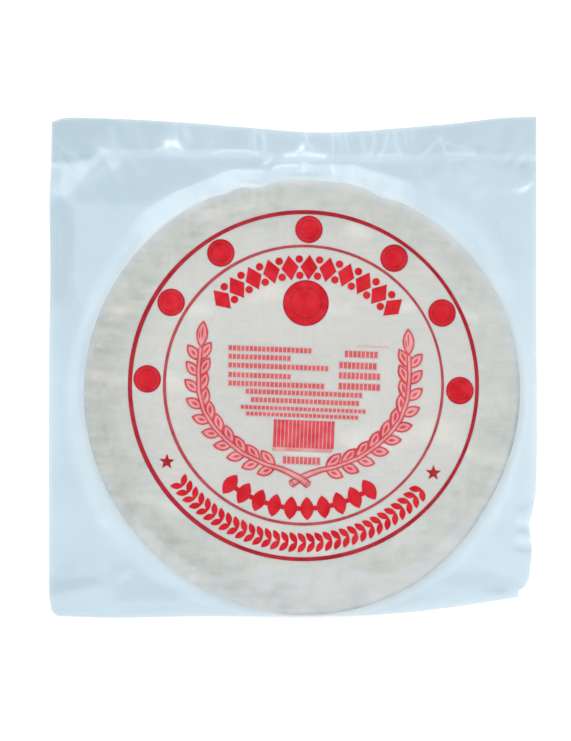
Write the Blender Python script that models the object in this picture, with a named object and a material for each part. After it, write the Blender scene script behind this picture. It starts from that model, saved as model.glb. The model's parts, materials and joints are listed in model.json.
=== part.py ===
"""A flat, nearly square, heat-sealed clear bag that holds a round stack of rice papers.

The bag lies on its back with the printed face up. +Z points out of that face, +Y runs
towards the sealed header and +X to the right. The origin is the middle of the bottom
of the bounding box, in metres.

The bag is sealed, so it is one solid out to its film: a round drum where the papers
are, and around it two films that close in on each other and run out as a thin flange.
"""

import math

import bmesh
import bpy
from mathutils import Vector

MM = 0.001

# The stack of papers, as the film wraps it.
STACK_RADIUS = 110.0 * MM
STACK_HEIGHT = 8.0 * MM
STACK_CENTRE = Vector((4.5, -15.0)) * MM
RIM_ROUNDING = 1.2 * MM

# The flange, where the front film meets the back film.
FLANGE_THICKNESS = 1.2 * MM
FLANGE_LOWEST = 0.2 * MM
SLOPE_RUN = 9.0 * MM
DROOP_LENGTH = 24.0 * MM

# The heat seal, a straight band that bites across the top, and the header above it.
SEAL_Y = 107.5 * MM
SEAL_WIDTH = 4.0 * MM
SEAL_RELIEF = 0.25 * MM
HEADER_RIPPLE = 0.5 * MM
HEADER_RIPPLES = 9

# The outline in millimetres, one smooth run of film for each list, anticlockwise.
TOP_EDGE = [
    (123.0, 126.5), (104.0, 125.6), (84.0, 123.2), (54.0, 120.5), (24.0, 118.5), (4.0, 118.6),
    (-27.0, 121.2), (-67.0, 124.2), (-104.0, 125.8), (-117.0, 125.4), (-121.6, 123.6),
]
LEFT_EDGE = [
    (-121.6, 123.6), (-122.0, 100.0), (-122.8, 84.0), (-122.3, 45.0), (-122.9, 0.0),
    (-122.9, -115.0), (-121.8, -123.2), (-118.5, -125.7),
]
BOTTOM_EDGE = [
    (-118.5, -125.7), (-90.0, -126.5), (-57.0, -125.8), (-30.0, -125.6), (4.0, -125.7), (30.0, -125.3),
    (45.0, -124.5), (64.0, -123.1), (84.0, -120.6), (113.9, -116.0),
]
TORN_CORNER = [(113.9, -116.0), (113.9, -112.9)]
CRUMPLED_EDGE = [
    (113.9, -112.9), (116.8, -111.0), (119.2, -107.0), (120.3, -98.0), (120.7, -91.0), (119.2, -79.0),
    (121.2, -71.0), (122.6, -63.0),
]
RIGHT_EDGE = [(122.6, -63.0), (123.0, -40.0), (122.8, 30.0), (123.0, 126.5)]
OUTLINE = [TOP_EDGE, LEFT_EDGE, BOTTOM_EDGE, TORN_CORNER, CRUMPLED_EDGE, RIGHT_EDGE]
OUTLINE_STEP = 6.5 * MM

# How far out, as a share of the way from the drum to the edge, each ring of points lies.
FLANGE_SHARES = (0.2, 0.4, 0.6, 0.8)

FILM_COLOUR = (0.72, 0.83, 0.89, 1.0)
FILM_ROUGHNESS = 0.2


def clear_scene():
    """Remove what the startup scene holds."""
    for obj in list(bpy.data.objects):
        bpy.data.objects.remove(obj, do_unlink=True)


def smooth_step(share):
    """0 to 1 with a level start and end."""
    share = min(max(share, 0.0), 1.0)
    return share * share * (3.0 - 2.0 * share)


def catmull_rom(before, start, end, after, share):
    """A point between start and end on the smooth curve through all four."""
    return 0.5 * (
        2.0 * start
        + (end - before) * share
        + (2.0 * before - 5.0 * start + 4.0 * end - after) * share ** 2
        + (3.0 * start - before - 3.0 * end + after) * share ** 3
    )


def smooth_run(control_points):
    """Points along one edge of the bag, about OUTLINE_STEP apart, without the last."""
    points = [Vector(point) * MM for point in control_points]
    padded = [2.0 * points[0] - points[1], *points, 2.0 * points[-1] - points[-2]]
    run = []
    for index in range(1, len(padded) - 2):
        start, end = padded[index], padded[index + 1]
        steps = max(1, round((end - start).length / OUTLINE_STEP))
        for step in range(steps):
            run.append(catmull_rom(padded[index - 1], start, end, padded[index + 2], step / steps))
    return run


def bag_outline():
    """The whole outline, anticlockwise."""
    return [point for edge in OUTLINE for point in smooth_run(edge)]


def middle_height(distance):
    """Height half way between the two films, which droop from the drum to the table."""
    drum_middle = STACK_HEIGHT / 2.0
    far_middle = FLANGE_LOWEST + FLANGE_THICKNESS / 2.0
    return far_middle + (drum_middle - far_middle) * math.exp(-distance / DROOP_LENGTH)


def half_gap(distance, slope_run):
    """Half the distance between the films, from the drum's wall out to the flange."""
    closed = FLANGE_THICKNESS / 2.0
    return closed + (STACK_HEIGHT / 2.0 - closed) * (1.0 - smooth_step(distance / slope_run))


def surface_relief(point):
    """How far the front film stands proud at the seal, or ripples in the header."""
    if abs(point.y - SEAL_Y) < SEAL_WIDTH / 2.0:
        return SEAL_RELIEF
    if point.y > SEAL_Y:
        share = point.x / abs(TOP_EDGE[0][0] * MM)
        return HEADER_RIPPLE * math.sin(math.pi * HEADER_RIPPLES * share)
    return 0.0


def ring_distances(direction, reach):
    """Distances from the drum's wall at which one ray has a point, the last on the outline."""
    run = min(SLOPE_RUN, reach * 0.6)
    inner = [run * 0.5, run]
    if direction.y > 0.0:
        to_seal = (SEAL_Y - STACK_CENTRE.y) / direction.y - STACK_RADIUS
        half_band = SEAL_WIDTH / direction.y / 2.0
        if to_seal + half_band < reach * 0.95:
            nudge = half_band * 0.1
            first = max(run * 1.05, to_seal - half_band)
            second = max(first * 1.01, to_seal - half_band + nudge)
            return [*inner, first, second, to_seal + half_band - nudge, to_seal + half_band, reach]
    return [*inner, *(run + (reach - run) * share for share in FLANGE_SHARES), reach]


def ring_columns(outline):
    """For every outline point, the front and the back points from the drum outwards."""
    columns = []
    for point in outline:
        spoke = point - STACK_CENTRE
        direction = spoke.normalized()
        reach = spoke.length - STACK_RADIUS
        front = []
        back = []
        for distance in ring_distances(direction, reach):
            place = STACK_CENTRE + direction * (STACK_RADIUS + distance)
            middle = middle_height(distance)
            gap = half_gap(distance, min(SLOPE_RUN, reach * 0.6))
            relief = surface_relief(place) if distance < reach else 0.0
            front.append(Vector((place.x, place.y, middle + gap + relief)))
            back.append(Vector((place.x, place.y, middle - gap)))
        shoulder = drum_shoulder(direction)
        foot = [Vector((p.x, p.y, STACK_HEIGHT - p.z)) for p in shoulder]
        columns.append((shoulder + front, foot + back))
    return columns


def drum_shoulder(direction):
    """The rounded upper rim of the drum along one ray, as three points going outwards."""
    rim = []
    for turn in (0.0, 35.0, 70.0):
        angle = math.radians(turn)
        radius = STACK_RADIUS - RIM_ROUNDING * (1.0 - math.sin(angle))
        place = STACK_CENTRE + direction * radius
        drop = RIM_ROUNDING * (1.0 - math.cos(angle))
        rim.append(Vector((place.x, place.y, STACK_HEIGHT - drop)))
    return rim


def add_rings(bm, columns):
    """Vertices for each column of points and the faces between neighbouring columns."""
    grid = [[bm.verts.new(point) for point in column] for column in columns]
    for index, column in enumerate(grid):
        following = grid[(index + 1) % len(grid)]
        for low in range(len(column) - 1):
            bm.faces.new((column[low], column[low + 1], following[low + 1], following[low]))
    return grid


def build_bag():
    """The sealed bag as one closed solid."""
    columns = ring_columns(bag_outline())
    bm = bmesh.new()
    front = add_rings(bm, [front for front, _ in columns])
    back = add_rings(bm, [back for _, back in columns])
    for index in range(len(front)):
        following = (index + 1) % len(front)
        bm.faces.new((front[index][-1], front[following][-1], back[following][-1], back[index][-1]))
    bm.faces.new([column[0] for column in front])
    bm.faces.new([column[0] for column in back])
    bmesh.ops.recalc_face_normals(bm, faces=bm.faces)
    mesh = bpy.data.meshes.new("sealed_bag")
    bm.to_mesh(mesh)
    bm.free()
    mesh.shade_smooth()
    mesh.set_sharp_from_angle(angle=math.radians(35.0))
    bag = bpy.data.objects.new("sealed_bag", mesh)
    bpy.context.scene.collection.objects.link(bag)
    return bag


def film_material():
    """Clear film over off-white paper, as one pale cool colour."""
    material = bpy.data.materials.new("bag_film")
    material.use_nodes = True
    shader = material.node_tree.nodes["Principled BSDF"]
    shader.inputs["Base Color"].default_value = FILM_COLOUR
    shader.inputs["Roughness"].default_value = FILM_ROUGHNESS
    shader.inputs["Metallic"].default_value = 0.0
    return material


clear_scene()
build_bag().data.materials.append(film_material())
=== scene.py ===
# %% [markdown]
# # Rice papers in a clear bag
# A stack of round rice papers lies flat inside a clear bag that is closed by a heat seal near
# the top. The front of the bag carries a red print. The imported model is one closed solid, out
# to the film. Here it is replaced by the things a buyer would see: the film, the sheets of
# paper inside it and the ink on it. Everything is in metres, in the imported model's own frame.

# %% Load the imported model
import json
import math

import bmesh
import bpy
import numpy as np
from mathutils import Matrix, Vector

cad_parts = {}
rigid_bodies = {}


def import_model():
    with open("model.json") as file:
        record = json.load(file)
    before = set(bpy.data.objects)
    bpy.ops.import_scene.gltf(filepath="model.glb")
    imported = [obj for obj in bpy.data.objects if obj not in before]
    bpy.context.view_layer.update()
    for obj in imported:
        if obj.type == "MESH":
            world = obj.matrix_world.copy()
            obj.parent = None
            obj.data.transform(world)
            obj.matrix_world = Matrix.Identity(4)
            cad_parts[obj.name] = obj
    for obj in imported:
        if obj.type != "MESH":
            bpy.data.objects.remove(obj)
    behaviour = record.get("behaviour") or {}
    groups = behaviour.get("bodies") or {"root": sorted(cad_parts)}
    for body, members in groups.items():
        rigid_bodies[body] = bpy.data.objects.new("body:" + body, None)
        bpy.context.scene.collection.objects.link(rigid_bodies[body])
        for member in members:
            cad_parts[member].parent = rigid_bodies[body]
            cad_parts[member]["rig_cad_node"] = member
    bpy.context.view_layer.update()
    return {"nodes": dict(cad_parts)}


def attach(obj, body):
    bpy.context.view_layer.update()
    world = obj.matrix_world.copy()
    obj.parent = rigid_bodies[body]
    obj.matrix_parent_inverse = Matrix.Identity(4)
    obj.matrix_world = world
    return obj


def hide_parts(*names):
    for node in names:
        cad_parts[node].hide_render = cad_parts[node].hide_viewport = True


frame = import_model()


def add_object(name, data):
    """A new object in the scene."""
    made = bpy.data.objects.new(name, data)
    bpy.context.scene.collection.objects.link(made)
    return made


# %% [markdown]
# ## Working in millimetres
# A film is a twentieth of a millimetre thick, so sizes are easier to read in millimetres.
# The helpers that make shapes work in them, and the last step of each piece turns them into
# metres, which the camera, the lights, the materials and the node trees use.
# Most shapes and tones here are sums of two plain curves: a step that rises smoothly from 0 to
# 1, and a hump that is 1 in the middle and fades out on both sides.

# %% Sizes of the stack, a step and a hump
MM = 0.001
STACK_CENTRE = np.array((4.5, -15.3))
STACK_TOP = 7.85
FILM_TOP = 7.95


def polar(points):
    """Angles in degrees and distances from the middle of the stack."""
    across, up = np.moveaxis(np.asarray(points, float) - STACK_CENTRE, -1, 0)
    return np.degrees(np.arctan2(up, across)) % 360.0, np.hypot(across, up)


def smooth_step(share):
    """0 to 1 with a level start and end."""
    share = np.clip(share, 0.0, 1.0)
    return share * share * (3.0 - 2.0 * share)


def hump(value, middle, width):
    """1 where a value is at the middle, fading out on both sides over about the width."""
    return np.exp(-(((value - middle) / width) ** 2))


print("papers up to", STACK_TOP, "mm, film up to", FILM_TOP, "mm above the table")

# %% [markdown]
# ## Soft noise
# Film and paper are never quite even. This helper gives smooth bumps of a chosen size from a
# table of seeded random numbers, so that the same bumps come back on every run. It takes whole
# arrays, which is much quicker than asking for one point at a time.

# %% Bumps of a chosen size
NOISE_CELLS = 64


def soft_noise(x, y, size, seed):
    """Smooth values from -1 to 1, in bumps about size millimetres across."""
    table = np.random.default_rng(seed).uniform(-1.0, 1.0, (NOISE_CELLS, NOISE_CELLS))
    column, row = np.floor(x / size).astype(int), np.floor(y / size).astype(int)
    across, up = smooth_step(x / size - column), smooth_step(y / size - row)

    def along_row(line):
        """Values between two neighbours in one row of the table."""
        near, far = (table[line % NOISE_CELLS, place % NOISE_CELLS] for place in (column, column + 1))
        return near * (1 - across) + far * across

    return along_row(row) * (1 - up) + along_row(row + 1) * up


print("five bumps in a row:", soft_noise(np.arange(0.0, 45.0, 9.0), np.zeros(5), 9.0, 1).round(2))

# %% [markdown]
# ## The rim of the papers
# Rice paper dries a little out of round, so the rim is a gentle closed wave. It is given by a
# few radii and a smooth curve through them, with shallow dips at the top where the sheets
# buckle. The film follows this rim, so it is settled before both.

# %% Radius of the papers, round the clock
RIM_STEP = 30.0
RIM_RADII = np.array((109.5, 110.8, 110.0, 109.3, 110.3, 110.2, 109.4, 108.1, 107.9, 109.3, 109.4, 107.7))
# Each dip is an angle, its depth and its width in degrees.
RIM_DIPS = ((68.0, 1.9, 3.6), (101.5, 2.2, 3.4), (110.5, 1.2, 2.4), (85.0, 0.5, 4.0))


def turn_from(angle, middle):
    """Degrees from the middle angle, the short way round."""
    return (np.asarray(angle, float) - middle + 180.0) % 360.0 - 180.0


def papers_radius(angle):
    """The radius of the papers at angles in degrees, by a smooth curve through RIM_RADII."""
    place = np.asarray(angle, float) % 360.0 / RIM_STEP
    start = np.floor(place).astype(int)
    share = place - start
    before, near, after, last = (RIM_RADII[(start + step) % len(RIM_RADII)] for step in (-1, 0, 1, 2))
    radius = 0.5 * (
        2 * near
        + (after - before) * share
        + (2 * before - 5 * near + 4 * after - last) * share ** 2
        + (3 * near - before - 3 * after + last) * share ** 3
    )
    for middle, depth, width in RIM_DIPS:
        radius = radius - depth * hump(turn_from(angle, middle), 0.0, width)
    return radius


all_round = papers_radius(np.arange(360))
print("papers' radius from", round(float(all_round.min()), 1), "to", round(float(all_round.max()), 1), "mm")

# %% [markdown]
# ## Camera and light
# The bag lies on a pale floor and is seen from straight above with a long lens, so that its
# sides don't show. One wide softbox stands beyond the header: film mirrors it wherever a fold
# tips that way, and that is what makes clear film visible at all. Two weaker boxes and a bright
# sky keep the shadows soft. The colours are shown as they are, without a film-like curve.

# %% Camera
CAMERA_PLACE = (-0.00363, -0.00177, 1.2475)
LENS, SENSOR = 120.0, 36.0

camera = add_object("camera", bpy.data.cameras.new("camera"))
camera.data.lens = LENS
camera.data.sensor_width = SENSOR
camera.location = CAMERA_PLACE
camera.data.clip_start = 0.05
camera.data.clip_end = 20.0
bpy.context.scene.camera = camera
bpy.context.scene.view_settings.view_transform = "Standard"
print("camera", CAMERA_PLACE[2], "m above the table, with a", LENS, "mm lens")

# %% [markdown]
# ## Softboxes and sky
# A softbox is a rectangular area light that faces the bag. Its power is worked out from its
# size, so that a large box and a small one of the same brightness look alike in the film.

# %% Softboxes and sky
# Each is a place, a size and how bright its surface is, 1 being white.
SOFTBOXES = {
    "header_softbox": ((-0.25, 1.05, 0.95), (1.6, 0.35), 2.2),
    "left_softbox": ((-1.25, 0.25, 1.1), (0.7, 0.9), 1.0),
    "right_softbox": ((1.3, -0.3, 1.2), (0.7, 0.9), 1.0),
}
SKY = 1.06


def add_softbox(name, place, size, brightness):
    """A rectangular light that faces the bag."""
    light = bpy.data.lights.new(name, "AREA")
    light.shape = "RECTANGLE"
    light.size, light.size_y = size
    light.energy = brightness * math.pi * size[0] * size[1]
    box = add_object(name, light)
    box.location = place
    box.rotation_mode = "QUATERNION"
    box.rotation_quaternion = (-Vector(place)).to_track_quat("-Z", "Y")
    print(name, "gives", round(light.energy, 2), "W")


for name, (place, size, brightness) in SOFTBOXES.items():
    add_softbox(name, place, size, brightness)
world = bpy.data.worlds.new("white_sky")
world.use_nodes = True
world.node_tree.nodes["Background"].inputs["Color"].default_value = (1.0, 1.0, 1.0, 1.0)
world.node_tree.nodes["Background"].inputs["Strength"].default_value = SKY
bpy.context.scene.world = world

# %% [markdown]
# ## Materials in small steps
# Each finish below is a Principled shader fed by a few texture nodes. These helpers keep the
# cells short. The patterns take the piece's own Object coordinates, so a pattern stays where it
# is when the piece is shown alone.

# %% A node, a sum and a mix
BLACK, WHITE = (0.0, 0.0, 0.0), (1.0, 1.0, 1.0)


def tree_node(tree, kind, inputs=(), **settings):
    """A node in a tree. An input is a value or another node's output."""
    node = tree.nodes.new(kind)
    for key, value in settings.items():
        setattr(node, key, value)
    for socket, value in dict(inputs).items():
        if isinstance(value, bpy.types.NodeSocket):
            tree.links.new(value, node.inputs[socket])
        else:
            node.inputs[socket].default_value = value
    return node


def tree_math(tree, operation, *values):
    """One sum on numbers or outputs."""
    return tree_node(tree, "ShaderNodeMath", dict(enumerate(values)), operation=operation).outputs["Value"]


def tree_mix(tree, factor, first, second, **settings):
    """One colour mixed into another."""
    parts = {"Factor": factor, 6: first, 7: second}
    return tree_node(tree, "ShaderNodeMix", parts, data_type="RGBA", **settings).outputs[2]


# %% Material helpers
def start_material(name, **values):
    """A new material, its tree and its Principled shader, with plain values on its sockets."""
    material = bpy.data.materials.new(name)
    material.use_nodes = True
    shader = material.node_tree.nodes["Principled BSDF"]
    for socket, value in values.items():
        shader.inputs[socket.replace("_", " ")].default_value = value
    return material, material.node_tree, shader


def own_coordinates(tree, scale=(1.0, 1.0, 1.0), turn=0.0):
    """Object coordinates, stretched and turned about Z."""
    place = tree_node(tree, "ShaderNodeTexCoord")
    mapping = tree_node(tree, "ShaderNodeMapping", {"Vector": place.outputs["Object"]})
    mapping.inputs["Scale"].default_value = scale
    mapping.inputs["Rotation"].default_value = (0.0, 0.0, turn)
    return mapping.outputs["Vector"]


def noise(tree, scale, detail=2.0, stretch=(1.0, 1.0, 1.0), turn=0.0, distortion=0.0):
    """Noise about 0.5, in bumps of about 1 / scale metres."""
    return tree_node(tree, "ShaderNodeTexNoise", {
        "Vector": own_coordinates(tree, stretch, turn), "Scale": scale, "Detail": detail,
        "Distortion": distortion,
    }).outputs["Fac"]


def colour_ramp(tree, value, stops):
    """A value turned into colour, through stops of (position, colour)."""
    ramp = tree_node(tree, "ShaderNodeValToRGB", {"Fac": value})
    while len(ramp.color_ramp.elements) < len(stops):
        ramp.color_ramp.elements.new(0.5)
    for element, (position, colour) in zip(ramp.color_ramp.elements, stops):
        element.position = position
        element.color = (*colour, 1.0)
    return ramp.outputs["Color"]


def add_bump(tree, shader, height, strength, distance):
    """Fine relief on the shader, without changing the mesh."""
    bump = tree_node(
        tree, "ShaderNodeBump", {"Height": height, "Strength": strength, "Distance": distance},
    )
    tree.links.new(bump.outputs["Normal"], shader.inputs["Normal"])


def stored_value(tree, label):
    """The number stored under a label for each point of a piece."""
    return tree_node(tree, "ShaderNodeAttribute", attribute_name=label).outputs["Fac"]


# %% [markdown]
# ## The floor
# The floor isn't part of the object. It is one large face a little below the bag, painted in a
# pale grey that glows faintly, as a light table does, so that the bag's outline stays clean.

# %% Floor
FLOOR_GLOW = 0.12
FLOOR_HALF, FLOOR_DROP = 3.0, 1e-4
FLOOR_CORNERS = [
    (x * FLOOR_HALF, y * FLOOR_HALF, -FLOOR_DROP) for x, y in ((-1, -1), (1, -1), (1, 1), (-1, 1))
]

floor_paint, tree, shader = start_material(
    "floor_paint", Roughness=0.8, Specular_IOR_Level=0.1, Emission_Color=(*WHITE, 1.0),
    Emission_Strength=FLOOR_GLOW,
)
pale = colour_ramp(tree, noise(tree, 30.0), [(0.0, (0.93, 0.93, 0.93)), (1.0, (0.96, 0.96, 0.96))])
tree.links.new(pale, shader.inputs["Base Color"])
floor_mesh = bpy.data.meshes.new("studio_floor")
floor_mesh.from_pydata(FLOOR_CORNERS, [], [(0, 1, 2, 3)])
floor = add_object("studio_floor", floor_mesh)
floor.data.materials.append(floor_paint)
print("floor:", 2.0 * FLOOR_HALF, "m square")

# %% [markdown]
# ## The edge of the bag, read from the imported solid
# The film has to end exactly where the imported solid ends. Rays go out from the middle of the
# stack, and each one stops at the furthest edge of the solid that it crosses. The rays are
# closer together towards the header, where the film has its finest folds. The nearest ray is
# turned onto each sharp corner, so that no corner is cut off.

# %% Rays out to the edge
HEADER_RAYS, OTHER_RAYS = 620, 380
HEADER_SPAN = (20.0, 160.0)
RAYS = HEADER_RAYS + OTHER_RAYS
SHARP_CORNERS = ((123.0, 126.5), (-121.6, 123.6), (113.9, -116.0), (113.9, -112.9))
PARALLEL, SLACK = 1e-9, 1e-6


def flat_points(made):
    """The points of an object's mesh seen from above, in millimetres."""
    return np.array([v.co[:2] for v in made.data.vertices]) / MM


def edge_reach(angles):
    """Distance in millimetres from the middle of the stack to the solid's outline, for each angle."""
    solid = frame["nodes"]["sealed_bag"]
    flat = flat_points(solid) - STACK_CENTRE
    ends = np.array([e.vertices[:] for e in solid.data.edges])
    start, along = flat[ends[:, 0]], flat[ends[:, 1]] - flat[ends[:, 0]]
    reach = []
    for angle in np.radians(angles):
        ray = np.array((math.cos(angle), math.sin(angle)))
        turn = ray[0] * along[:, 1] - ray[1] * along[:, 0]
        turn[np.abs(turn) < PARALLEL] = np.nan
        out = (start[:, 0] * along[:, 1] - start[:, 1] * along[:, 0]) / turn
        share = (start[:, 0] * ray[1] - start[:, 1] * ray[0]) / turn
        reach.append(np.nanmax(np.where((share >= -SLACK) & (share <= 1 + SLACK), out, np.nan)))
    return np.array(reach)


ray_angles = np.concatenate((
    np.linspace(*HEADER_SPAN, HEADER_RAYS, endpoint=False),
    np.linspace(HEADER_SPAN[1], HEADER_SPAN[0] + 360.0, OTHER_RAYS, endpoint=False),
))
for corner in SHARP_CORNERS:
    corner_angle = polar(corner)[0]
    ray_angles[np.argmin(np.abs(ray_angles - corner_angle))] = corner_angle
ray_reach = edge_reach(ray_angles)
nearest, furthest = (round(float(reach), 1) for reach in (ray_reach.min(), ray_reach.max()))
print("edge from", nearest, "to", furthest, "mm from the middle of the stack")

# %% [markdown]
# ## The facet above the stack
# Over the papers the film lies flat. Beyond the top of the stack it is pulled tight into one
# flat facet that ends in a crisp fold, which stops abruptly on the right and fades out on the
# left. The fold is a line of points, read by angle, so the facet's width is known for each ray.

# %% Facet
FILM_CLEARANCE = 0.15
NARROWEST_FACET = 0.6
# The fold at the outer edge of the facet, from its right end to the left.
FACET_FOLD = (
    (61.6, 81.0), (62.7, 83.5), (62.7, 87.0), (61.6, 90.3), (59.5, 92.0), (52.0, 95.6), (46.0, 97.3),
    (40.0, 98.7), (35.0, 100.7), (30.0, 102.3), (25.0, 101.5), (20.0, 102.4), (16.0, 101.4), (10.0, 101.8),
    (7.5, 103.2), (5.0, 103.2), (3.0, 101.9), (-5.0, 101.9), (-8.7, 101.2), (-10.6, 98.9), (-12.5, 98.6),
    (-14.0, 99.3), (-32.0, 99.4), (-36.0, 98.0), (-40.0, 95.7), (-50.0, 91.7), (-60.0, 88.0), (-70.0, 82.2),
    (-75.0, 79.2), (-80.0, 73.5), (-84.0, 68.5), (-88.0, 62.5), (-94.0, 51.0),
)
FACET_FIRST, FACET_LAST = 59.2, 128.0
FACET_START, FACET_FADE = 0.5, 22.0
fold_angles, fold_reach = polar(FACET_FOLD)


def facet_width(angle):
    """How far past the rim the fold runs."""
    width = np.interp(angle, fold_angles, fold_reach) - papers_radius(angle) - FILM_CLEARANCE
    return np.maximum(width, NARROWEST_FACET)


def facet_share(angle):
    """1 where the film is pulled into the facet, 0 elsewhere. It starts abruptly and fades out."""
    starts = smooth_step((angle - FACET_FIRST) / FACET_START)
    return starts * (1.0 - smooth_step((angle - FACET_LAST) / FACET_FADE))


print("facet up to", round(float(facet_width(np.arange(FACET_FIRST, FACET_LAST)).max()), 1), "mm wide")

# %% [markdown]
# ## Streaks
# The rest of the film carries two kinds of mark. The first is a streak: a fine ridge along a
# line, with a painted highlight along it; a streak with a gain below zero carries painted shade
# instead. They could come from a cloth simulation, but then they would lie anywhere. Placed one
# by one, they run where this film was pulled: down from the header to the seal, along the seal,
# and out from the shoulders of the stack.

# %% Streaks of the header, the seal, the shoulders, the sides and the facet
# Each is a line of points, its half width, how much lighter it is painted and how high it stands.
HEADER_STREAKS = (
    (((-119.3, 114.0), (-116.0, 110.6)), 0.8, 0.46, 0.2),
    (((-115.5, 119.5), (-113.8, 115.0)), 1.6, 0.14, 0.1),
    (((-91.0, 121.0), (-91.2, 111.0)), 1.1, 0.41, 0.3),
    (((-85.0, 124.5), (-82.5, 120.0)), 0.9, 0.28, 0.2),
    (((-79.0, 123.5), (-78.0, 117.5), (-75.5, 111.5)), 0.7, 0.32, 0.2),
    (((-58.7, 123.0), (-58.9, 112.8)), 0.7, 0.60, 0.4),
    (((-61.5, 119.0), (-63.5, 113.5)), 1.2, 0.28, 0.2),
    (((-54.5, 120.0), (-53.5, 117.0)), 2.0, 0.41, 0.3),
    (((-51.5, 115.0), (-55.5, 111.0)), 1.6, 0.28, 0.2),
    (((-41.0, 114.0), (-42.5, 110.0)), 1.5, 0.23, 0.2),
    (((-21.5, 118.5), (-21.8, 111.0)), 0.7, 0.37, 0.3),
    (((-19.2, 119.3), (-19.3, 110.4)), 0.7, 0.60, 0.4),
    (((-15.6, 118.0), (-14.0, 114.0), (-13.8, 109.5)), 0.9, 0.55, 0.4),
    (((6.6, 117.8), (7.6, 113.5), (10.0, 110.0)), 0.9, 0.60, 0.4),
    (((20.2, 118.0), (20.4, 107.5)), 0.7, 0.60, 0.4),
    (((23.5, 117.5), (24.2, 108.5)), 1.2, 0.37, 0.3),
    (((26.6, 118.2), (27.2, 112.0), (28.5, 107.5)), 0.6, 0.55, 0.4),
    (((34.8, 117.0), (35.8, 108.5), (38.0, 106.4)), 1.2, 0.32, 0.3),
    (((40.6, 119.0), (41.0, 112.0), (39.4, 107.0)), 0.9, 0.46, 0.3),
    (((47.8, 117.5), (46.6, 110.5), (44.0, 106.6)), 0.8, 0.51, 0.4),
    (((51.4, 119.4), (51.8, 112.0), (54.6, 107.4)), 0.9, 0.55, 0.4),
    (((56.4, 120.3), (57.4, 112.0)), 0.8, 0.37, 0.3),
    (((60.4, 120.6), (60.6, 110.5)), 0.8, 0.32, 0.2),
    (((64.5, 106.8), (68.0, 108.6), (72.5, 113.6)), 0.9, 0.41, 0.3),
    (((74.0, 115.6), (75.8, 111.5), (76.6, 108.0)), 0.9, 0.60, 0.4),
    (((75.0, 114.5), (82.0, 111.6), (92.0, 108.0)), 1.2, 0.37, 0.3),
    (((101.5, 121.0), (102.0, 111.0)), 2.0, 0.18, 0.2),
    (((114.6, 119.0), (113.8, 112.0)), 1.4, 0.23, 0.2),
)
SEAL_STREAKS = (
    (((-68.5, 109.4), (-65.5, 110.1), (-63.4, 112.0), (-61.0, 112.9), (-58.6, 112.2), (-56.0, 109.9)),
     0.95, 0.85, 0.6),
    (((-62.6, 112.5), (-60.8, 112.9), (-59.0, 112.5)), 1.9, 1.35, 0.5),
    (((-40.0, 107.6), (-31.0, 109.0), (-25.0, 108.6), (-17.5, 107.6)), 0.77, 0.57, 0.3),
    (((-3.6, 106.5), (1.5, 107.2), (3.6, 109.2), (4.9, 110.8)), 1.3, 0.85, 0.6),
    (((4.8, 110.6), (5.2, 107.4)), 1.6, 0.55, 0.6),
    (((7.4, 107.2), (10.5, 106.8), (16.0, 106.1)), 1.3, 0.75, 0.6),
    (((77.5, 107.6), (83.0, 107.8), (91.5, 107.3)), 0.9, 0.75, 0.4),
    (((115.0, 104.9), (121.5, 104.7)), 0.66, 0.53, 0.3),
    (((44.0, 106.5), (50.0, 106.9), (57.5, 106.8)), 0.88, 0.30, 0.2),
    (((-98.0, 110.0), (-95.5, 109.6), (-93.8, 109.8)), 0.88, 0.47, 0.3),
)
SHOULDER_STREAKS = (
    (((-99.0, 104.2), (-104.0, 101.2), (-109.0, 98.6)), 1.8, 0.20, 0.2),
    (((-14.8, 101.9), (-12.6, 103.2), (-11.0, 104.4)), 0.75, 0.95, 0.5),
    (((-95.0, 100.5), (-98.5, 96.5), (-103.0, 93.0)), 0.9, 0.30, 0.2),
    (((-92.5, 103.5), (-95.5, 99.5)), 0.8, 0.23, 0.2),
    (((-80.5, 104.5), (-76.6, 96.8), (-72.5, 101.5)), 0.9, 0.27, 0.2),
    (((-112.0, 82.8), (-95.0, 82.0), (-76.0, 81.4)), 0.5, 0.19, 0.2),
    (((-109.6, 46.0), (-108.2, 36.5), (-105.0, 31.0), (-100.5, 29.6), (-98.4, 31.5)), 0.5, 0.30, 0.2),
    (((61.5, 99.6), (64.5, 97.8), (67.5, 93.0), (72.0, 88.0)), 0.8, 0.30, 0.2),
    (((79.6, 105.0), (78.6, 101.0), (76.5, 96.5)), 0.9, 0.27, 0.2),
    (((82.5, 104.0), (88.5, 92.0), (91.5, 87.5)), 1.0, 0.23, 0.2),
    (((81.0, 84.0), (90.0, 75.0), (97.5, 68.5), (103.0, 62.0), (106.0, 52.0)), 0.7, 0.25, 0.2),
    (((92.0, 86.0), (103.0, 77.0), (112.0, 64.0)), 0.9, 0.17, 0.2),
    (((94.0, 89.5), (100.0, 93.0), (104.0, 96.5)), 0.9, 0.19, 0.2),
    (((112.0, 89.3), (115.0, 89.0), (117.5, 89.6), (120.6, 92.8)), 1.1, 0.58, 0.5),
    (((118.5, 90.2), (114.2, 88.6)), 1.1, 0.50, 0.4),
    (((88.5, 101.8), (100.0, 99.6), (114.0, 96.6)), 1.6, 0.25, 0.2),
    (((92.0, 86.6), (101.0, 88.0), (110.0, 88.2)), 1.2, 0.23, 0.2),
)
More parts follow.
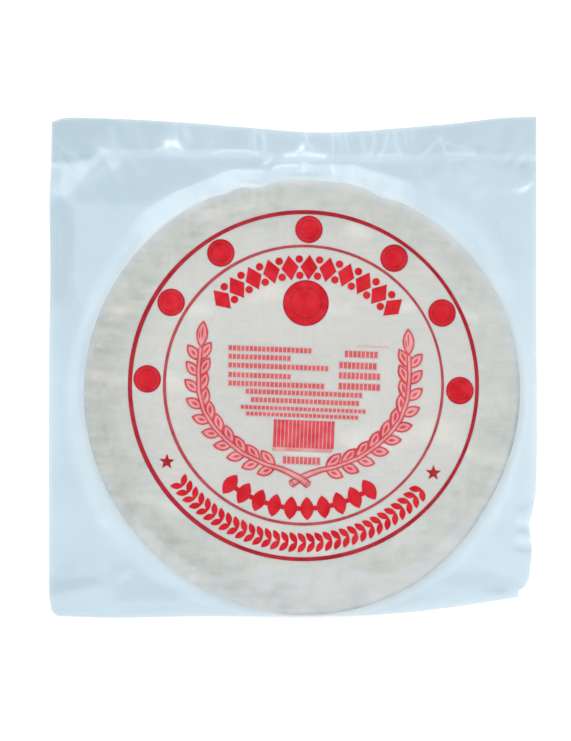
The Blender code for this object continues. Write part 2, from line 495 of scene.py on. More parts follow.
SIDE_STREAKS = (
    (((-110.9, 80.0), (-111.2, 50.0)), 0.6, -0.16, 0.2),
    (((-117.5, 84.0), (-116.6, 50.0)), 0.7, 0.11, 0.2),
    (((115.2, 86.0), (116.0, 60.0), (116.4, 20.0)), 0.6, 0.16, 0.2),
    (((118.2, 70.0), (118.6, 10.0)), 0.6, 0.13, 0.2),
    (((-86.2, -104.6), (-83.2, -106.2)), 0.6, 0.70, 0.4),
    (((-83.5, -101.6), (-78.5, -104.0)), 0.6, 0.32, 0.2),
    (((-52.0, -116.9), (-43.0, -119.3)), 0.55, 0.40, 0.3),
    (((-119.0, -48.8), (-116.6, -50.2)), 0.5, 0.32, 0.2),
    (((-99.5, -77.2), (-95.0, -78.5)), 0.8, 0.35, 0.2),
    (((-110.0, -62.0), (-104.0, -80.0), (-99.0, -96.0)), 0.9, 0.11, 0.2),
    (((-95.0, -122.0), (-87.0, -121.5)), 0.9, 0.22, 0.2),
    (((-88.0, -119.2), (-55.0, -118.9)), 0.8, 0.22, 0.2),
    (((96.5, -113.2), (108.0, -112.8)), 0.7, -0.42, 0.2),
    (((114.0, -82.4), (119.6, -83.4)), 1.1, -0.67, 0.4),
    (((112.4, -92.5), (120.4, -92.9)), 1.0, -0.72, 0.4),
    (((114.5, -71.5), (120.5, -69.5)), 1.6, -0.40, 0.3),
    (((113.0, -78.0), (118.6, -78.6)), 0.8, 0.64, 0.5),
    (((113.5, -87.4), (119.6, -87.8)), 1.4, 0.45, 0.5),
    (((103.5, -83.0), (107.0, -81.5)), 1.2, -0.22, 0.2),
    (((60.0, -116.8), (76.0, -115.6)), 1.4, -0.19, 0.2),
)
FACET_STREAKS = (
    (((-23.5, 98.5), (-16.5, 98.5)), 0.45, 0.35, 0.2),
    (((-29.0, 94.0), (-26.0, 92.6), (-18.0, 91.6)), 0.9, 0.12, 0.2),
    (((-10.4, 99.2), (-8.6, 101.0), (-4.5, 101.7), (2.5, 101.7)), 0.6, 0.26, 0.2),
    (((5.6, 102.8), (5.4, 98.4)), 0.8, 0.34, 0.2),
    (((19.5, 101.8), (21.2, 98.4)), 0.9, 0.40, 0.2),
    (((30.9, 102.0), (30.9, 94.0)), 0.5, 0.24, 0.2),
    (((34.0, 95.0), (36.0, 91.0)), 1.6, -0.20, 0.1),
    (((-1.0, 96.5), (14.0, 96.3)), 0.9, -0.32, 0.1),
)
STREAKS = HEADER_STREAKS + SEAL_STREAKS + SHOULDER_STREAKS + SIDE_STREAKS + FACET_STREAKS
print("streaks:", len(STREAKS))

# %% [markdown]
# ## Panels
# The second kind of mark is a panel: a patch of painted light and shade, where a fold would tip
# the film to or from the light, with a soft or a crisp edge. A later panel lies on an earlier one.

# %% Panels
# Each is an outline, how soft its edge is, the painted tone it takes and how high it stands.
PANELS = (
    (((-123.0, 107.8), (-99.5, 108.0), (-102.0, 105.6), (-108.0, 104.0), (-116.0, 103.2), (-123.0, 104.0)),
     1.2, 0.0, 0.0),
    (((-94.0, 104.5), (-84.0, 104.5), (-68.0, 105.2), (-52.0, 104.6), (-37.0, 98.8), (-50.0, 92.8),
      (-61.0, 89.2), (-71.0, 83.8), (-76.0, 82.2), (-112.0, 83.2), (-109.0, 88.0), (-99.0, 98.0)),
     1.6, 0.26, 0.0),
    (((-116.0, 101.9), (-109.8, 102.7), (-104.8, 103.8), (-99.6, 106.6), (-95.4, 109.8), (-94.2, 108.8),
      (-96.8, 105.0), (-99.8, 100.4), (-105.0, 96.1), (-108.6, 91.2), (-111.4, 88.3), (-114.4, 86.0),
      (-122.3, 86.2), (-122.0, 90.0), (-117.5, 92.5), (-115.8, 97.0)), 1.3, 0.88, 0.5),
    (((-121.8, 103.4), (-116.6, 101.9), (-116.2, 100.0), (-118.6, 99.9), (-121.8, 101.3)), 1.0, 1.05, 0.3),
    (((-92.6, 103.6), (-86.8, 104.8), (-85.4, 103.0), (-89.4, 99.6), (-92.4, 99.8)), 1.2, 0.84, 0.3),
    (((-111.0, 82.0), (-78.0, 81.2), (-84.5, 71.0), (-95.0, 50.0), (-99.5, 30.5), (-104.5, 31.5),
      (-108.0, 37.0), (-110.5, 55.0)), 1.8, 0.53, 0.2),
    (((-123.0, 85.0), (-111.5, 83.0), (-111.0, 60.0), (-114.5, 35.0), (-123.0, 30.0)), 2.2, 0.2, 0.0),
    (((-50.0, 105.0), (-14.0, 105.0), (-9.0, 103.0), (-12.5, 100.5), (-32.0, 100.4), (-38.0, 99.0)),
     1.4, 0.24, 0.0),
    (((36.0, 101.2), (46.0, 98.4), (56.0, 95.0), (62.0, 92.5), (68.0, 95.5), (84.0, 99.0), (104.0, 97.0),
      (122.5, 93.5), (122.5, 103.8), (63.0, 103.8), (50.0, 103.2)), 2.4, 0.32, 0.0),
    (((104.0, 103.6), (122.5, 103.4), (122.5, 99.0), (113.0, 100.0)), 2.8, 0.17, 0.0),
    (((-123.0, -106.0), (-101.0, -106.2), (-95.5, -108.8), (-102.0, -110.8), (-123.0, -115.4)),
     1.5, 0.2, 0.0),
    (((-120.5, -99.0), (-110.0, -98.8), (-107.0, -101.5), (-113.0, -105.0), (-120.5, -104.4)),
     1.6, 0.42, 0.2),
    (((-118.5, -116.0), (-104.0, -112.8), (-91.5, -113.5), (-89.5, -119.0), (-98.0, -122.5),
      (-118.0, -121.5)), 2.0, 0.66, 0.2),
    (((-93.0, -98.0), (-79.0, -98.4), (-66.0, -107.5), (-56.0, -114.5), (-58.0, -118.0), (-90.0, -117.6)),
     1.6, 0.42, 0.0),
    (((64.0, -109.5), (77.5, -103.6), (95.0, -102.8), (106.0, -105.8), (117.5, -109.5), (113.5, -113.4),
      (98.0, -113.6), (78.0, -109.5)), 1.6, 0.54, 0.0),
)
print("panels:", len(PANELS))


# %% Shares of a streak and of a panel
def distance_to(x, y, line):
    """Distance from points to a line of joined stretches."""
    nearest = np.full(np.shape(x), np.inf)
    for start, end in zip(line[:-1], line[1:]):
        along = np.subtract(end, start)
        right, up = x - start[0], y - start[1]
        share = np.clip((right * along[0] + up * along[1]) / (along @ along), 0.0, 1.0)
        nearest = np.minimum(nearest, np.hypot(right - share * along[0], up - share * along[1]))
    return nearest


def streak_share(x, y, line, half_width):
    """1 on a streak's line, falling to 0 beside it and past its ends."""
    return hump(distance_to(x, y, line), 0.0, half_width)


def panel_share(x, y, outline, softness):
    """1 inside an outline and 0 outside it, with a soft step between them."""
    inside = np.zeros(np.shape(x), bool)
    for (x0, y0), (x1, y1) in zip(outline, outline[1:] + outline[:1]):
        if y0 != y1:
            inside ^= ((y0 > y) != (y1 > y)) & (x < x0 + (y - y0) * (x1 - x0) / (y1 - y0))
    edge = distance_to(x, y, outline + outline[:1])
    return smooth_step(0.5 + np.where(inside, edge, -edge) / softness)


# %% [markdown]
# ## The heat seal
# Hot jaws close the bag along a straight band below the header. The film strayed a little in
# them, so the band steps down by two millimetres in the middle.

# %% Heat seal
SEAL_X = (-123.0, -20.0, -6.0, 60.0, 123.0)
SEAL_Y = (107.8, 107.6, 105.3, 105.1, 106.0)
SEAL_HALF_WIDTH, SEAL_EDGE = 2.0, 0.8


def seal_share(x, y):
    """1 in the band of the seal, with a narrow soft edge."""
    off = np.abs(y - np.interp(x, SEAL_X, SEAL_Y))
    return 1.0 - smooth_step((off - SEAL_HALF_WIDTH + SEAL_EDGE / 2.0) / SEAL_EDGE)


print("seal:", 2.0 * SEAL_HALF_WIDTH, "mm wide, from", min(SEAL_Y), "to", max(SEAL_Y), "mm up")

# %% [markdown]
# ## The height of the film
# Over the papers the film is flat, with slight ripples. Past the rim it falls to the middle of
# the stack and meets the back film, and the two of them droop to the table. On top of that come
# broad billows, fine pleats round the rim, the seal, the panels and the streaks. All of it
# fades out at the edge of the bag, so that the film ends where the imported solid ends.

# %% Over the papers
PAPER_RIPPLE = 0.03
RIM_TURN = 0.5


def film_over_papers(x, y):
    """Height of the film where it lies on the top sheet. It turns down at the rim."""
    angle, out = polar(np.stack((x, y), -1))
    inward = papers_radius(angle) + FILM_CLEARANCE - out
    ripple = PAPER_RIPPLE * soft_noise(x, y, 21.0, 3)
    turned = RIM_TURN * np.exp(-np.maximum(inward, 0.0) / RIM_TURN)
    return FILM_TOP + ripple * smooth_step(inward / 6.0) - turned


# %% Past the rim
# The height half way between the films: far out, how much more at the rim, and how far that lasts.
MIDDLE_LOW, MIDDLE_MORE, MIDDLE_LASTS = 0.75, 3.25, 24.0
# From half way up or down to a film, where the two lie together, and how much more at the rim.
FILM_GAP, FRONT_MORE, BACK_MORE = 0.05, 3.4, 3.9
# Over what distance past the rim each film closes in.
FRONT_RUN, BACK_RUN = 5.0, 4.0
# How high the billows, the pleats and the seal stand, and how many pleats go round.
BILLOW, PLEAT, SEAL_RISE, PLEATS_ROUND = 0.3, 0.08, 0.2, 41.0


def middle_height(beyond):
    """Height half way between the films, which droop from the stack to the table."""
    return MIDDLE_LOW + MIDDLE_MORE * np.exp(-beyond / MIDDLE_LASTS)


def closing(beyond, reach, run):
    """1 at the rim, falling to 0 at the edge of the bag."""
    run = np.minimum(run, 0.4 * reach)
    last = np.exp(-reach / run)
    return (np.exp(-beyond / run) - last) / (1.0 - last)


def front_height(x, y, angle, beyond, reach):
    """Height of the front film past the rim."""
    width = np.minimum(facet_width(angle), 0.9 * reach)
    facet = np.clip(1.0 - beyond / width, 0.0, 1.0)
    share = facet_share(angle)
    drop = facet * share + closing(beyond, reach, FRONT_RUN) * (1.0 - share)
    to_edge = 1.0 - beyond / reach
    height = middle_height(beyond) + FILM_GAP + FRONT_MORE * drop
    height = height + BILLOW * smooth_step(to_edge * 4.0) * (0.5 + 0.5 * soft_noise(x, y, 17.0, 5))
    pleats = np.sin(np.radians(angle) * PLEATS_ROUND + 3.0 * soft_noise(x, y, 40.0, 6))
    near_rim = np.exp(-np.abs(beyond - 5.0) / 6.0)
    height = height + PLEAT * pleats * near_rim * smooth_step(beyond / 2.0)
    fade = smooth_step(to_edge * 12.0)
    height = height + SEAL_RISE * seal_share(x, y) * fade
    for outline, softness, _, rise in PANELS:
        height = height + rise * panel_share(x, y, outline, softness) * fade
    for line, half_width, _, rise in STREAKS:
        height = height + rise * streak_share(x, y, line, half_width) * fade
    return height


print("half-way height falls from", middle_height(0.0), "mm at the rim to", MIDDLE_LOW, "mm")

# %% [markdown]
# ## How light or dark the film looks
# Clear film over a floor takes a pale blue cast, deeper in the header. Much of its light and
# dark is painted light and shade: a painted gradient of light across the bag, painted light
# beside the papers that offsets the shadow of the stack, and painted highlights where folds would
# mirror the softbox. That is worked out once for each point of the mesh from where the point is,
# and stored as an attribute called tone. The material turns it into colour.

# %% Painted light band beside the papers
# Each is an angle, the band's width, the softness of its edge and its tone. The band is painted
# light that offsets the shadow of the stack on the film.
PAINTED_RIM_BAND = (
    (0.0, 4.5, 3.0, 0.98), (20.0, 8.0, 4.0, 0.90), (35.0, 11.0, 4.0, 0.88), (45.0, 13.0, 3.0, 0.86),
    (56.0, 11.5, 2.0, 0.78), (59.0, 9.5, 2.0, 0.64), (118.0, 9.0, 2.0, 0.92), (132.0, 8.5, 5.0, 0.95),
    (150.0, 8.0, 6.0, 0.94), (165.0, 7.0, 6.0, 0.86), (185.0, 8.0, 7.0, 0.90), (200.0, 10.5, 8.0, 0.94),
    (215.0, 12.5, 6.0, 0.95), (222.0, 11.0, 5.0, 0.94), (232.0, 9.5, 4.0, 0.90), (245.0, 7.0, 4.0, 0.85),
    (270.0, 3.0, 3.0, 1.0), (300.0, 5.0, 4.0, 1.15), (315.0, 9.0, 7.0, 1.10), (330.0, 8.0, 7.0, 1.10),
    (345.0, 6.0, 4.0, 1.0), (360.0, 4.5, 3.0, 0.98),
)
BRIGHTEST_WITHOUT_STREAK = 1.24


def columns_at(angle, table):
    """The other columns of a table whose first column is an angle, at any angles."""
    angles, *columns = (np.array(column) for column in zip(*table))
    return [np.interp(angle, angles, column) for column in columns]


def between(angle, first, last, fade):
    """1 from one angle round to another, fading out over some degrees past each."""
    away = np.abs(turn_from(angle, (first + last) / 2.0))
    return 1.0 - smooth_step((away - (last - first) / 2.0) / fade)


def painted_rim_light(angle, beyond):
    """A painted fine light line where the film bends over the rim, and a painted soft glow a little further
    out.
    """
    line = 0.45 * between(angle, 38.0, 118.0, 15.0) + 0.12 * between(angle, 150.0, 215.0, 25.0)
    line = line * (1.0 - facet_share(angle)) * hump(beyond, 0.5, 0.8)
    glow = 0.24 * between(angle, 195.0, 235.0, 20.0) + 0.22 * between(angle, 300.0, 405.0, 20.0)
    return line + glow * hump(beyond, 2.4, 1.6)


print("band beside the papers up to", max(row[1] for row in PAINTED_RIM_BAND), "mm wide")

# %% Tone of the film
# The left and right tones set a painted gradient of light across the bag, and the facet's tone is painted
# light, as if the facet mirrored the softbox.
LEFT_TONE, RIGHT_TONE, HEADER_TONE, SEAL_TONE, FACET_TONE = 0.38, 0.50, 0.10, 0.66, 0.92


def towards(tone, level, share):
    """A tone moved towards a level by a share."""
    return tone + (level - tone) * share


def place_tone_and_painted_light(x, y):
    """The tone that the place on the bag gives: sides, header, seal and panels. The sides rise in a
    painted gradient of light, and the panels are painted light and shade.
    """
    left = LEFT_TONE + 0.21 * hump(y, -20.0, 38.0) + 0.20 * smooth_step((-50.0 - y) / 30.0)
    right = RIGHT_TONE + 0.28 * (1.0 - smooth_step((y + 30.0) / 110.0))
    tone = towards(left, right, smooth_step((x + 100.0) / 200.0))
    header = HEADER_TONE + 0.18 * smooth_step((x + 110.0) / 70.0)
    tone = towards(tone, header, smooth_step((y - np.interp(x, SEAL_X, SEAL_Y)) / 2.0))
    tone = towards(tone, SEAL_TONE, seal_share(x, y) * smooth_step((x + 101.0) / 7.0))
    for outline, softness, level, _ in PANELS:
        tone = towards(tone, level, panel_share(x, y, outline, softness))
    return tone


def film_tone_and_painted_light(x, y, angle, beyond):
    """0 for the deepest blue and 1 for the lightest, with painted light, shade and highlights in it."""
    pulled = facet_share(angle)
    width, soft, level = columns_at(angle, PAINTED_RIM_BAND)
    band = (1.0 - smooth_step(0.5 + (beyond - width) / soft)) * (1.0 - pulled)
    tone = towards(place_tone_and_painted_light(x, y), level, band)
    # The facet is painted light, as if it mirrored the softbox, with a painted glint near the rim.
    facet = pulled * (1.0 - smooth_step(0.5 + (beyond - facet_width(angle)) / 0.9))
    tone = towards(tone, FACET_TONE, facet) + 0.55 * facet * hump(beyond, 0.4, 1.5)
    # Painted light near the rim offsets the stack's shadow on the film, then the painted rim line and glow.
    tone = tone + 0.26 * np.exp(-beyond / 7.0) + painted_rim_light(angle, beyond)
    # The painted light stops at a cap; only a streak's painted highlight goes past it, as if the
    # streak tipped the film far enough to mirror the softbox in full.
    tone = np.minimum(tone, BRIGHTEST_WITHOUT_STREAK + 0.11 * pulled * hump(beyond, 0.4, 1.2))
    # Each streak adds its painted highlight; a streak with a gain below zero adds painted shade.
    for line, half_width, gain, _ in STREAKS:
        tone = tone + gain * streak_share(x, y, line, half_width)
    return np.clip(tone + 0.04 * soft_noise(x, y, 13.0, 8) + 0.03 * soft_noise(x, y, 5.0, 9), 0.0, 1.5)


# %% [markdown]
# ## The film as one closed skin
# A front skin and a back skin share the rays, and a narrow wall joins them at the edge of the
# bag. Rings of points are close together at the rim, where the film turns sharply, and wider
# apart elsewhere. Faces over the papers get one material and faces past the rim another,
# because film that clings to paper hardly shows.

# %% Rings of points
INSIDE_RINGS, OUTSIDE_RINGS = 24, 62
BACK_INSIDE, BACK_OUTSIDE = 3, 7
BAG_BOTTOM = 0.03


def ring_grid(inside, outside):
    """For each ray and ring: x, y, angle, distance past the rim, and the rim's distance to the edge."""
    rim = papers_radius(ray_angles) + FILM_CLEARANCE
    rim, reach = rim[:, None], (ray_reach - rim)[:, None]
    inner = 1.0 - (1.0 - np.arange(1, inside + 1) / inside) ** 1.25
    outer = (np.arange(1, outside + 1) / outside) ** 1.1
    out = np.concatenate((rim * inner, rim + reach * outer), 1)
    turn = np.radians(ray_angles)[:, None]
    x, y = STACK_CENTRE[0] + out * np.cos(turn), STACK_CENTRE[1] + out * np.sin(turn)
    angle = ray_angles[:, None] % 360.0 + 0.0 * out
    return x, y, angle, np.maximum(out - rim, 0.0), reach + 0.0 * out


def front_skin():
    """Points of the front film, as (ray, ring, xyz), and their tone."""
    x, y, angle, beyond, reach = ring_grid(INSIDE_RINGS, OUTSIDE_RINGS)
    z = front_height(x, y, angle, beyond, reach)
    z[:, :INSIDE_RINGS] = film_over_papers(x, y)[:, :INSIDE_RINGS]
    return np.stack((x, y, z), -1), film_tone_and_painted_light(x, y, angle, beyond)


def back_skin():
    """Points of the back film, which is flat under the papers, and their tone."""
    x, y, angle, beyond, reach = ring_grid(BACK_INSIDE, BACK_OUTSIDE)
    z = middle_height(beyond) - FILM_GAP - BACK_MORE * closing(beyond, reach, BACK_RUN)
    z[:, :BACK_INSIDE] = BAG_BOTTOM
    return np.stack((x, y, np.maximum(z, BAG_BOTTOM)), -1), film_tone_and_painted_light(x, y, angle, beyond)


front_points, front_tone = front_skin()
back_points, back_tone = back_skin()
front_rings, back_rings = front_points.shape[1], back_points.shape[1]
print("front skin", front_points.shape, "back skin", back_points.shape)

# %% [markdown]
# ## Sewing the skins together
# The points of both skins are already in rings, so the faces between them can be numbered in
# plain loops, which is quicker and surer than joining loose meshes. The mesh is closed, and the
# tone of each point is stored on it.

# %% Sew the skins into a mesh
def mesh_object(name, points, faces):
    """An object at the origin, from points in millimetres."""
    mesh = bpy.data.meshes.new(name)
    mesh.from_pydata((np.asarray(points) * MM).tolist(), [], faces)
    mesh.update()
    return add_object(name, mesh)


def fan_and_strips(first, rings, pole, upward):
    """Faces of one skin: a fan at the middle, then strips between neighbouring rings."""
    faces = []
    for ray in range(RAYS):
        here, there = first + ray * rings, first + (ray + 1) % RAYS * rings
        faces.append((pole, here, there) if upward else (pole, there, here))
        for ring in range(rings - 1):
            corners = (here + ring, here + ring + 1, there + ring + 1, there + ring)
            faces.append(corners if upward else corners[::-1])
    return faces


def sew_film():
    """Both skins, their middles and the wall between them as one closed mesh."""
    middles = [(*STACK_CENTRE, FILM_TOP), (*STACK_CENTRE, BAG_BOTTOM)]
    points = np.concatenate((front_points.reshape(-1, 3), back_points.reshape(-1, 3), middles))
    back_first, pole = RAYS * front_rings, len(points) - 2
    faces = fan_and_strips(0, front_rings, pole, True)
    faces += fan_and_strips(back_first, back_rings, pole + 1, False)
    for ray in range(RAYS):
        after = (ray + 1) % RAYS
        top, next_top = ((spoke + 1) * front_rings - 1 for spoke in (ray, after))
        low, next_low = (back_first + (spoke + 1) * back_rings - 1 for spoke in (ray, after))
        faces.append((top, low, next_low, next_top))
    return mesh_object("bag_film", points, faces)


def store_values(made, label, values):
    """A number for each point of a piece, for its material to read."""
    store = made.data.attributes.new(label, "FLOAT", "POINT")
    store.data.foreach_set("value", values.astype(np.float32))


bag_film = sew_film()
bag_film.data.shade_smooth()
MIDDLE_TONES = (0.5, 0.5)
store_values(bag_film, "tone", np.concatenate((front_tone.ravel(), back_tone.ravel(), MIDDLE_TONES)))
print("film:", len(bag_film.data.polygons), "faces")

# %% [markdown]
# ## The finish of the film
# The film is a Principled shader with a fixed, low alpha, so the floor and the papers show
# through it, and a smooth surface, so that folds glint. Fine wrinkles too small for the mesh
# come from a bump. A tone just below the brightest is as far as the painted light goes on its
# own; the last stop of the ramp, a painted white glint, is kept for the streaks' painted highlights.

# %% Film past the rim
FLANGE_DEEP, FLANGE_LIGHT = (0.10, 0.295, 0.40), (0.435, 0.64, 0.76)
FLANGE_BRIGHT, FLANGE_GLINT = (0.655, 0.825, 0.92), (0.98, 1.0, 1.0)
TONE_TO_RAMP, LIGHT_STOP, BRIGHT_STOP = 0.65, 0.65, 0.85

slack_film, tree, shader = start_material(
    "slack_film", Alpha=0.3, Roughness=0.16, IOR=1.7, Specular_IOR_Level=0.8,
)
cloudy = tree_math(tree, "MULTIPLY_ADD", noise(tree, 60.0, 4.0), 0.12, -0.06)
shifted = tree_math(tree, "ADD", stored_value(tree, "tone"), cloudy)
film_colour = colour_ramp(tree, tree_math(tree, "MULTIPLY", shifted, TONE_TO_RAMP), [
    (0.0, FLANGE_DEEP), (LIGHT_STOP, FLANGE_LIGHT), (BRIGHT_STOP, FLANGE_BRIGHT), (1.0, FLANGE_GLINT),
])
tree.links.new(film_colour, shader.inputs["Base Color"])
wrinkle = noise(tree, 160.0, 5.0, stretch=(1.0, 0.4, 1.0), distortion=0.8)
add_bump(tree, shader, wrinkle, 0.25, 0.0006)
print("film past the rim:", len(tree.nodes), "nodes")

# %% [markdown]
# ## The film on the papers
# Where the film clings to the paper it shows only as a slight haze, with fine creases that run
# across in gentle arches. A mesh fine enough for the creases would be huge, so a wave pattern
# draws them as a bump with a painted white highlight on each crest, and a mask of noise lets
# them come and go along their length.

# %% Film on the papers
HAZE_DEEP, HAZE_LIGHT = (0.50, 0.58, 0.60), (0.62, 0.69, 0.71)
CREASE_TURN = 0.12

tight_film, tree, shader = start_material(
    "tight_film", Alpha=0.12, Roughness=0.14, IOR=1.6, Specular_IOR_Level=0.7,
)
hazy = colour_ramp(tree, noise(tree, 45.0, 3.0), [(0.3, HAZE_DEEP), (0.7, HAZE_LIGHT)])
# Fine creases run across the papers in gentle arches, and fade in and out along their length.
# Their crests are painted white as highlights, and they raise a bump too.
arches = tree_node(tree, "ShaderNodeTexWave", {
    "Vector": own_coordinates(tree, turn=CREASE_TURN), "Scale": 7.0, "Distortion": 9.0, "Detail": 2.0,
    "Detail Scale": 0.9,
}, wave_type="BANDS", bands_direction="Y", wave_profile="SIN")
crests = colour_ramp(tree, arches.outputs["Fac"], [(0.90, BLACK), (0.99, WHITE)])
shown = colour_ramp(tree, noise(tree, 38.0, 1.0), [(0.45, BLACK), (0.57, WHITE)])
creases_and_painted_highlights = tree_math(tree, "MULTIPLY", crests, shown)
tree.links.new(tree_mix(tree, creases_and_painted_highlights, hazy, (*WHITE, 1.0)), shader.inputs["Base Color"])
add_bump(tree, shader, creases_and_painted_highlights, 0.5, 0.0003)
print("film on the papers:", len(tree.nodes), "nodes")


# %% Each face gets its film
def faces_over_papers(first, rings, inside):
    """Numbers of the faces over the papers, in a skin whose faces start at first."""
    return (first + np.arange(RAYS * rings).reshape(RAYS, rings)[:, :inside]).ravel()


bag_film.data.materials.append(slack_film)
bag_film.data.materials.append(tight_film)
film_choice = np.zeros(len(bag_film.data.polygons), np.int32)
film_choice[faces_over_papers(0, front_rings, INSIDE_RINGS)] = 1
film_choice[faces_over_papers(RAYS * front_rings, back_rings, BACK_INSIDE)] = 1
bag_film.data.polygons.foreach_set("material_index", film_choice)
bag_film.data.update()
print("faces of tight film:", int(film_choice.sum()))

# %% [markdown]
# ## A stack made by Geometry Nodes
# The papers under the top one are alike, so one sheet is made and a node tree repeats it. Each
# copy is raised by one pitch and is shifted and turned a little at random, as sheets stacked by
# hand are. The tree ends with Realize Instances, because copies that are only instances would
# be lost when the model is exported. The helpers come first, and later trees use them too.

# %% Node tree helpers
def start_tree(name, inputs):
    """A geometry tree with named inputs of (kind, default), and the values chosen for them."""
    tree = bpy.data.node_groups.new(name, "GeometryNodeTree")
    for way in ("INPUT", "OUTPUT"):
        tree.interface.new_socket("Geometry", in_out=way, socket_type="NodeSocketGeometry")
    for label, (kind, default) in inputs.items():
        socket = tree.interface.new_socket(label, in_out="INPUT", socket_type="NodeSocket" + kind)
        if default is not None:
            socket.default_value = default
    return tree, tree.nodes.new("NodeGroupInput").outputs


def vector_of(tree, **parts):
    """A vector from numbers or outputs named X, Y and Z."""
    return tree_node(tree, "ShaderNodeCombineXYZ", parts).outputs["Vector"]


def vector_math(tree, operation, inputs):
    """One sum on vectors."""
    return tree_node(tree, "ShaderNodeVectorMath", inputs, operation=operation).outputs["Vector"]


def copies_on(tree, points, shape, **more):
    """A copy of a shape on each point, which may be given a Rotation."""
    inputs = {"Points": points, "Instance": shape, **more}
    return tree_node(tree, "GeometryNodeInstanceOnPoints", inputs).outputs["Instances"]


def finish_tree(tree, chosen, geometry):
    """Realize Instances, Set Material and the way out."""
    real = tree_node(tree, "GeometryNodeRealizeInstances", {"Geometry": geometry})
    painted = tree_node(
        tree, "GeometryNodeSetMaterial",
        {"Geometry": real.outputs["Geometry"], "Material": chosen["Material"]},
    )
    tree_node(tree, "NodeGroupOutput", {"Geometry": painted.outputs["Geometry"]})
    print(tree.name, "has", len(tree.nodes), "nodes")


def run_tree(name, mesh, tree, values):
    """Runs a tree on a mesh and returns the result as a plain object, without the modifier."""
    host = add_object(name + "_host", mesh)
    modifier = host.modifiers.new("build", "NODES")
    modifier.node_group = tree
    for item in tree.interface.items_tree:
        if item.item_type == "SOCKET" and item.in_out == "INPUT" and item.name in values:
            modifier[item.identifier] = values[item.name]
    evaluated = host.evaluated_get(bpy.context.evaluated_depsgraph_get())
    result = bpy.data.meshes.new_from_object(evaluated)
    result.name = name
    result.materials.clear()
    result.materials.append(values["Material"])
    result.polygons.foreach_set("material_index", np.zeros(len(result.polygons), np.int32))
    bpy.data.objects.remove(host)
    return add_object(name, result)


# %% Tree that stacks a sheet
stack_tree, chosen = start_tree("stack_of_sheets", {
    "Sheets": ("Int", 19), "Pitch": ("Float", 0.0004), "Stray": ("Float", 0.0003),
    "Turn": ("Float", 0.02), "Seed": ("Int", 5), "Material": ("Material", None),
})
points = tree_node(stack_tree, "GeometryNodeMeshLine", {
    "Count": chosen["Sheets"], "Offset": vector_of(stack_tree, Z=chosen["Pitch"]),
}, mode="OFFSET")
shift = tree_node(stack_tree, "FunctionNodeRandomValue", {
    "Seed": chosen["Seed"], "Min": (-1.0, -1.0, 0.0), "Max": (1.0, 1.0, 0.0),
}, data_type="FLOAT_VECTOR")
stray = vector_math(stack_tree, "SCALE", {0: shift.outputs["Value"], "Scale": chosen["Stray"]})
strewn = tree_node(
    stack_tree, "GeometryNodeSetPosition", {"Geometry": points.outputs["Mesh"], "Offset": stray},
)
# Inputs 2 and 3 are the least and the most of a random number.
spin = tree_node(
    stack_tree, "FunctionNodeRandomValue", {"Seed": chosen["Seed"], 2: -1.0, 3: 1.0}, data_type="FLOAT",
)
turned = tree_math(stack_tree, "MULTIPLY", spin.outputs[1], chosen["Turn"])
facing = vector_of(stack_tree, Z=turned)
copies = copies_on(stack_tree, strewn.outputs["Geometry"], chosen["Geometry"], Rotation=facing)
finish_tree(stack_tree, chosen, copies)

# %% [markdown]
# ## The finish of the papers
# Rice paper is dried on a woven mat, and the mat leaves faint strokes across and along it. Two
# brick patterns at right angles give those strokes, and a broad noise gives the cloudy tone of
# dried starch. A tone attribute on the mesh carries painted shade, which makes the paper greyer
# towards its rim, and painted light and shade right at the rim, and a coolness attribute turns
# its cream towards blue.

# %% Rice paper
PAPER_DARK, PAPER_MIDDLE, PAPER_LIGHT = (0.33, 0.345, 0.325), (0.47, 0.48, 0.455), (0.60, 0.585, 0.565)
PAPER_WARM, PAPER_GREEN, PAPER_COOL = (1.02, 0.99, 0.97), (0.985, 1.01, 0.985), (0.98, 1.02, 1.06)
STROKE_LENGTH, STROKE_PITCH, STROKE_GAP = 0.0085, 0.0034, 0.0009
STROKE_BEND = 0.0022
QUARTER_TURN = math.pi / 2.0


def grey(level):
    """An even grey."""
    return (level, level, level, 1.0)


def mat_strokes(tree, turn, bends):
    """Strokes of a woven mat along one direction, as a value about 0.5."""
    flow = own_coordinates(tree, turn=turn)
    bend = tree_node(tree, "ShaderNodeTexNoise", {"Vector": flow, "Scale": bends, "Detail": 2.0})
    spread = vector_math(tree, "SCALE", {0: bend.outputs["Color"], "Scale": STROKE_BEND})
    return tree_node(tree, "ShaderNodeTexBrick", {
        "Vector": vector_math(tree, "ADD", {0: flow, 1: spread}), "Color1": grey(0.1), "Color2": grey(0.9),
        "Mortar": grey(0.5), "Scale": 1.0, "Mortar Size": STROKE_GAP, "Mortar Smooth": 1.0,
        "Brick Width": STROKE_LENGTH, "Row Height": STROKE_PITCH,
    }).outputs["Color"]


def about_zero(tree, value, gain, less):
    """A value times a gain, less a constant."""
    return tree_math(tree, "MULTIPLY_ADD", value, gain, -less)


rice_paper, tree, shader = start_material("rice_paper", Roughness=0.55, Specular_IOR_Level=0.3)
choose = colour_ramp(tree, noise(tree, 70.0, 1.0), [(0.42, BLACK), (0.58, WHITE)])
weave = tree_mix(tree, choose, mat_strokes(tree, 0.0, 25.0), mat_strokes(tree, QUARTER_TURN, 32.0))
brushed_across, brushed_along = (
    noise(tree, 260.0, stretch=(0.3, 1.0, 1.0), turn=turn) for turn in (0.0, QUARTER_TURN)
)
brushed = tree_node(
    tree, "ShaderNodeMix", {"Factor": choose, 2: brushed_across, 3: brushed_along}, data_type="FLOAT",
)
paper_value = stored_value(tree, "tone")
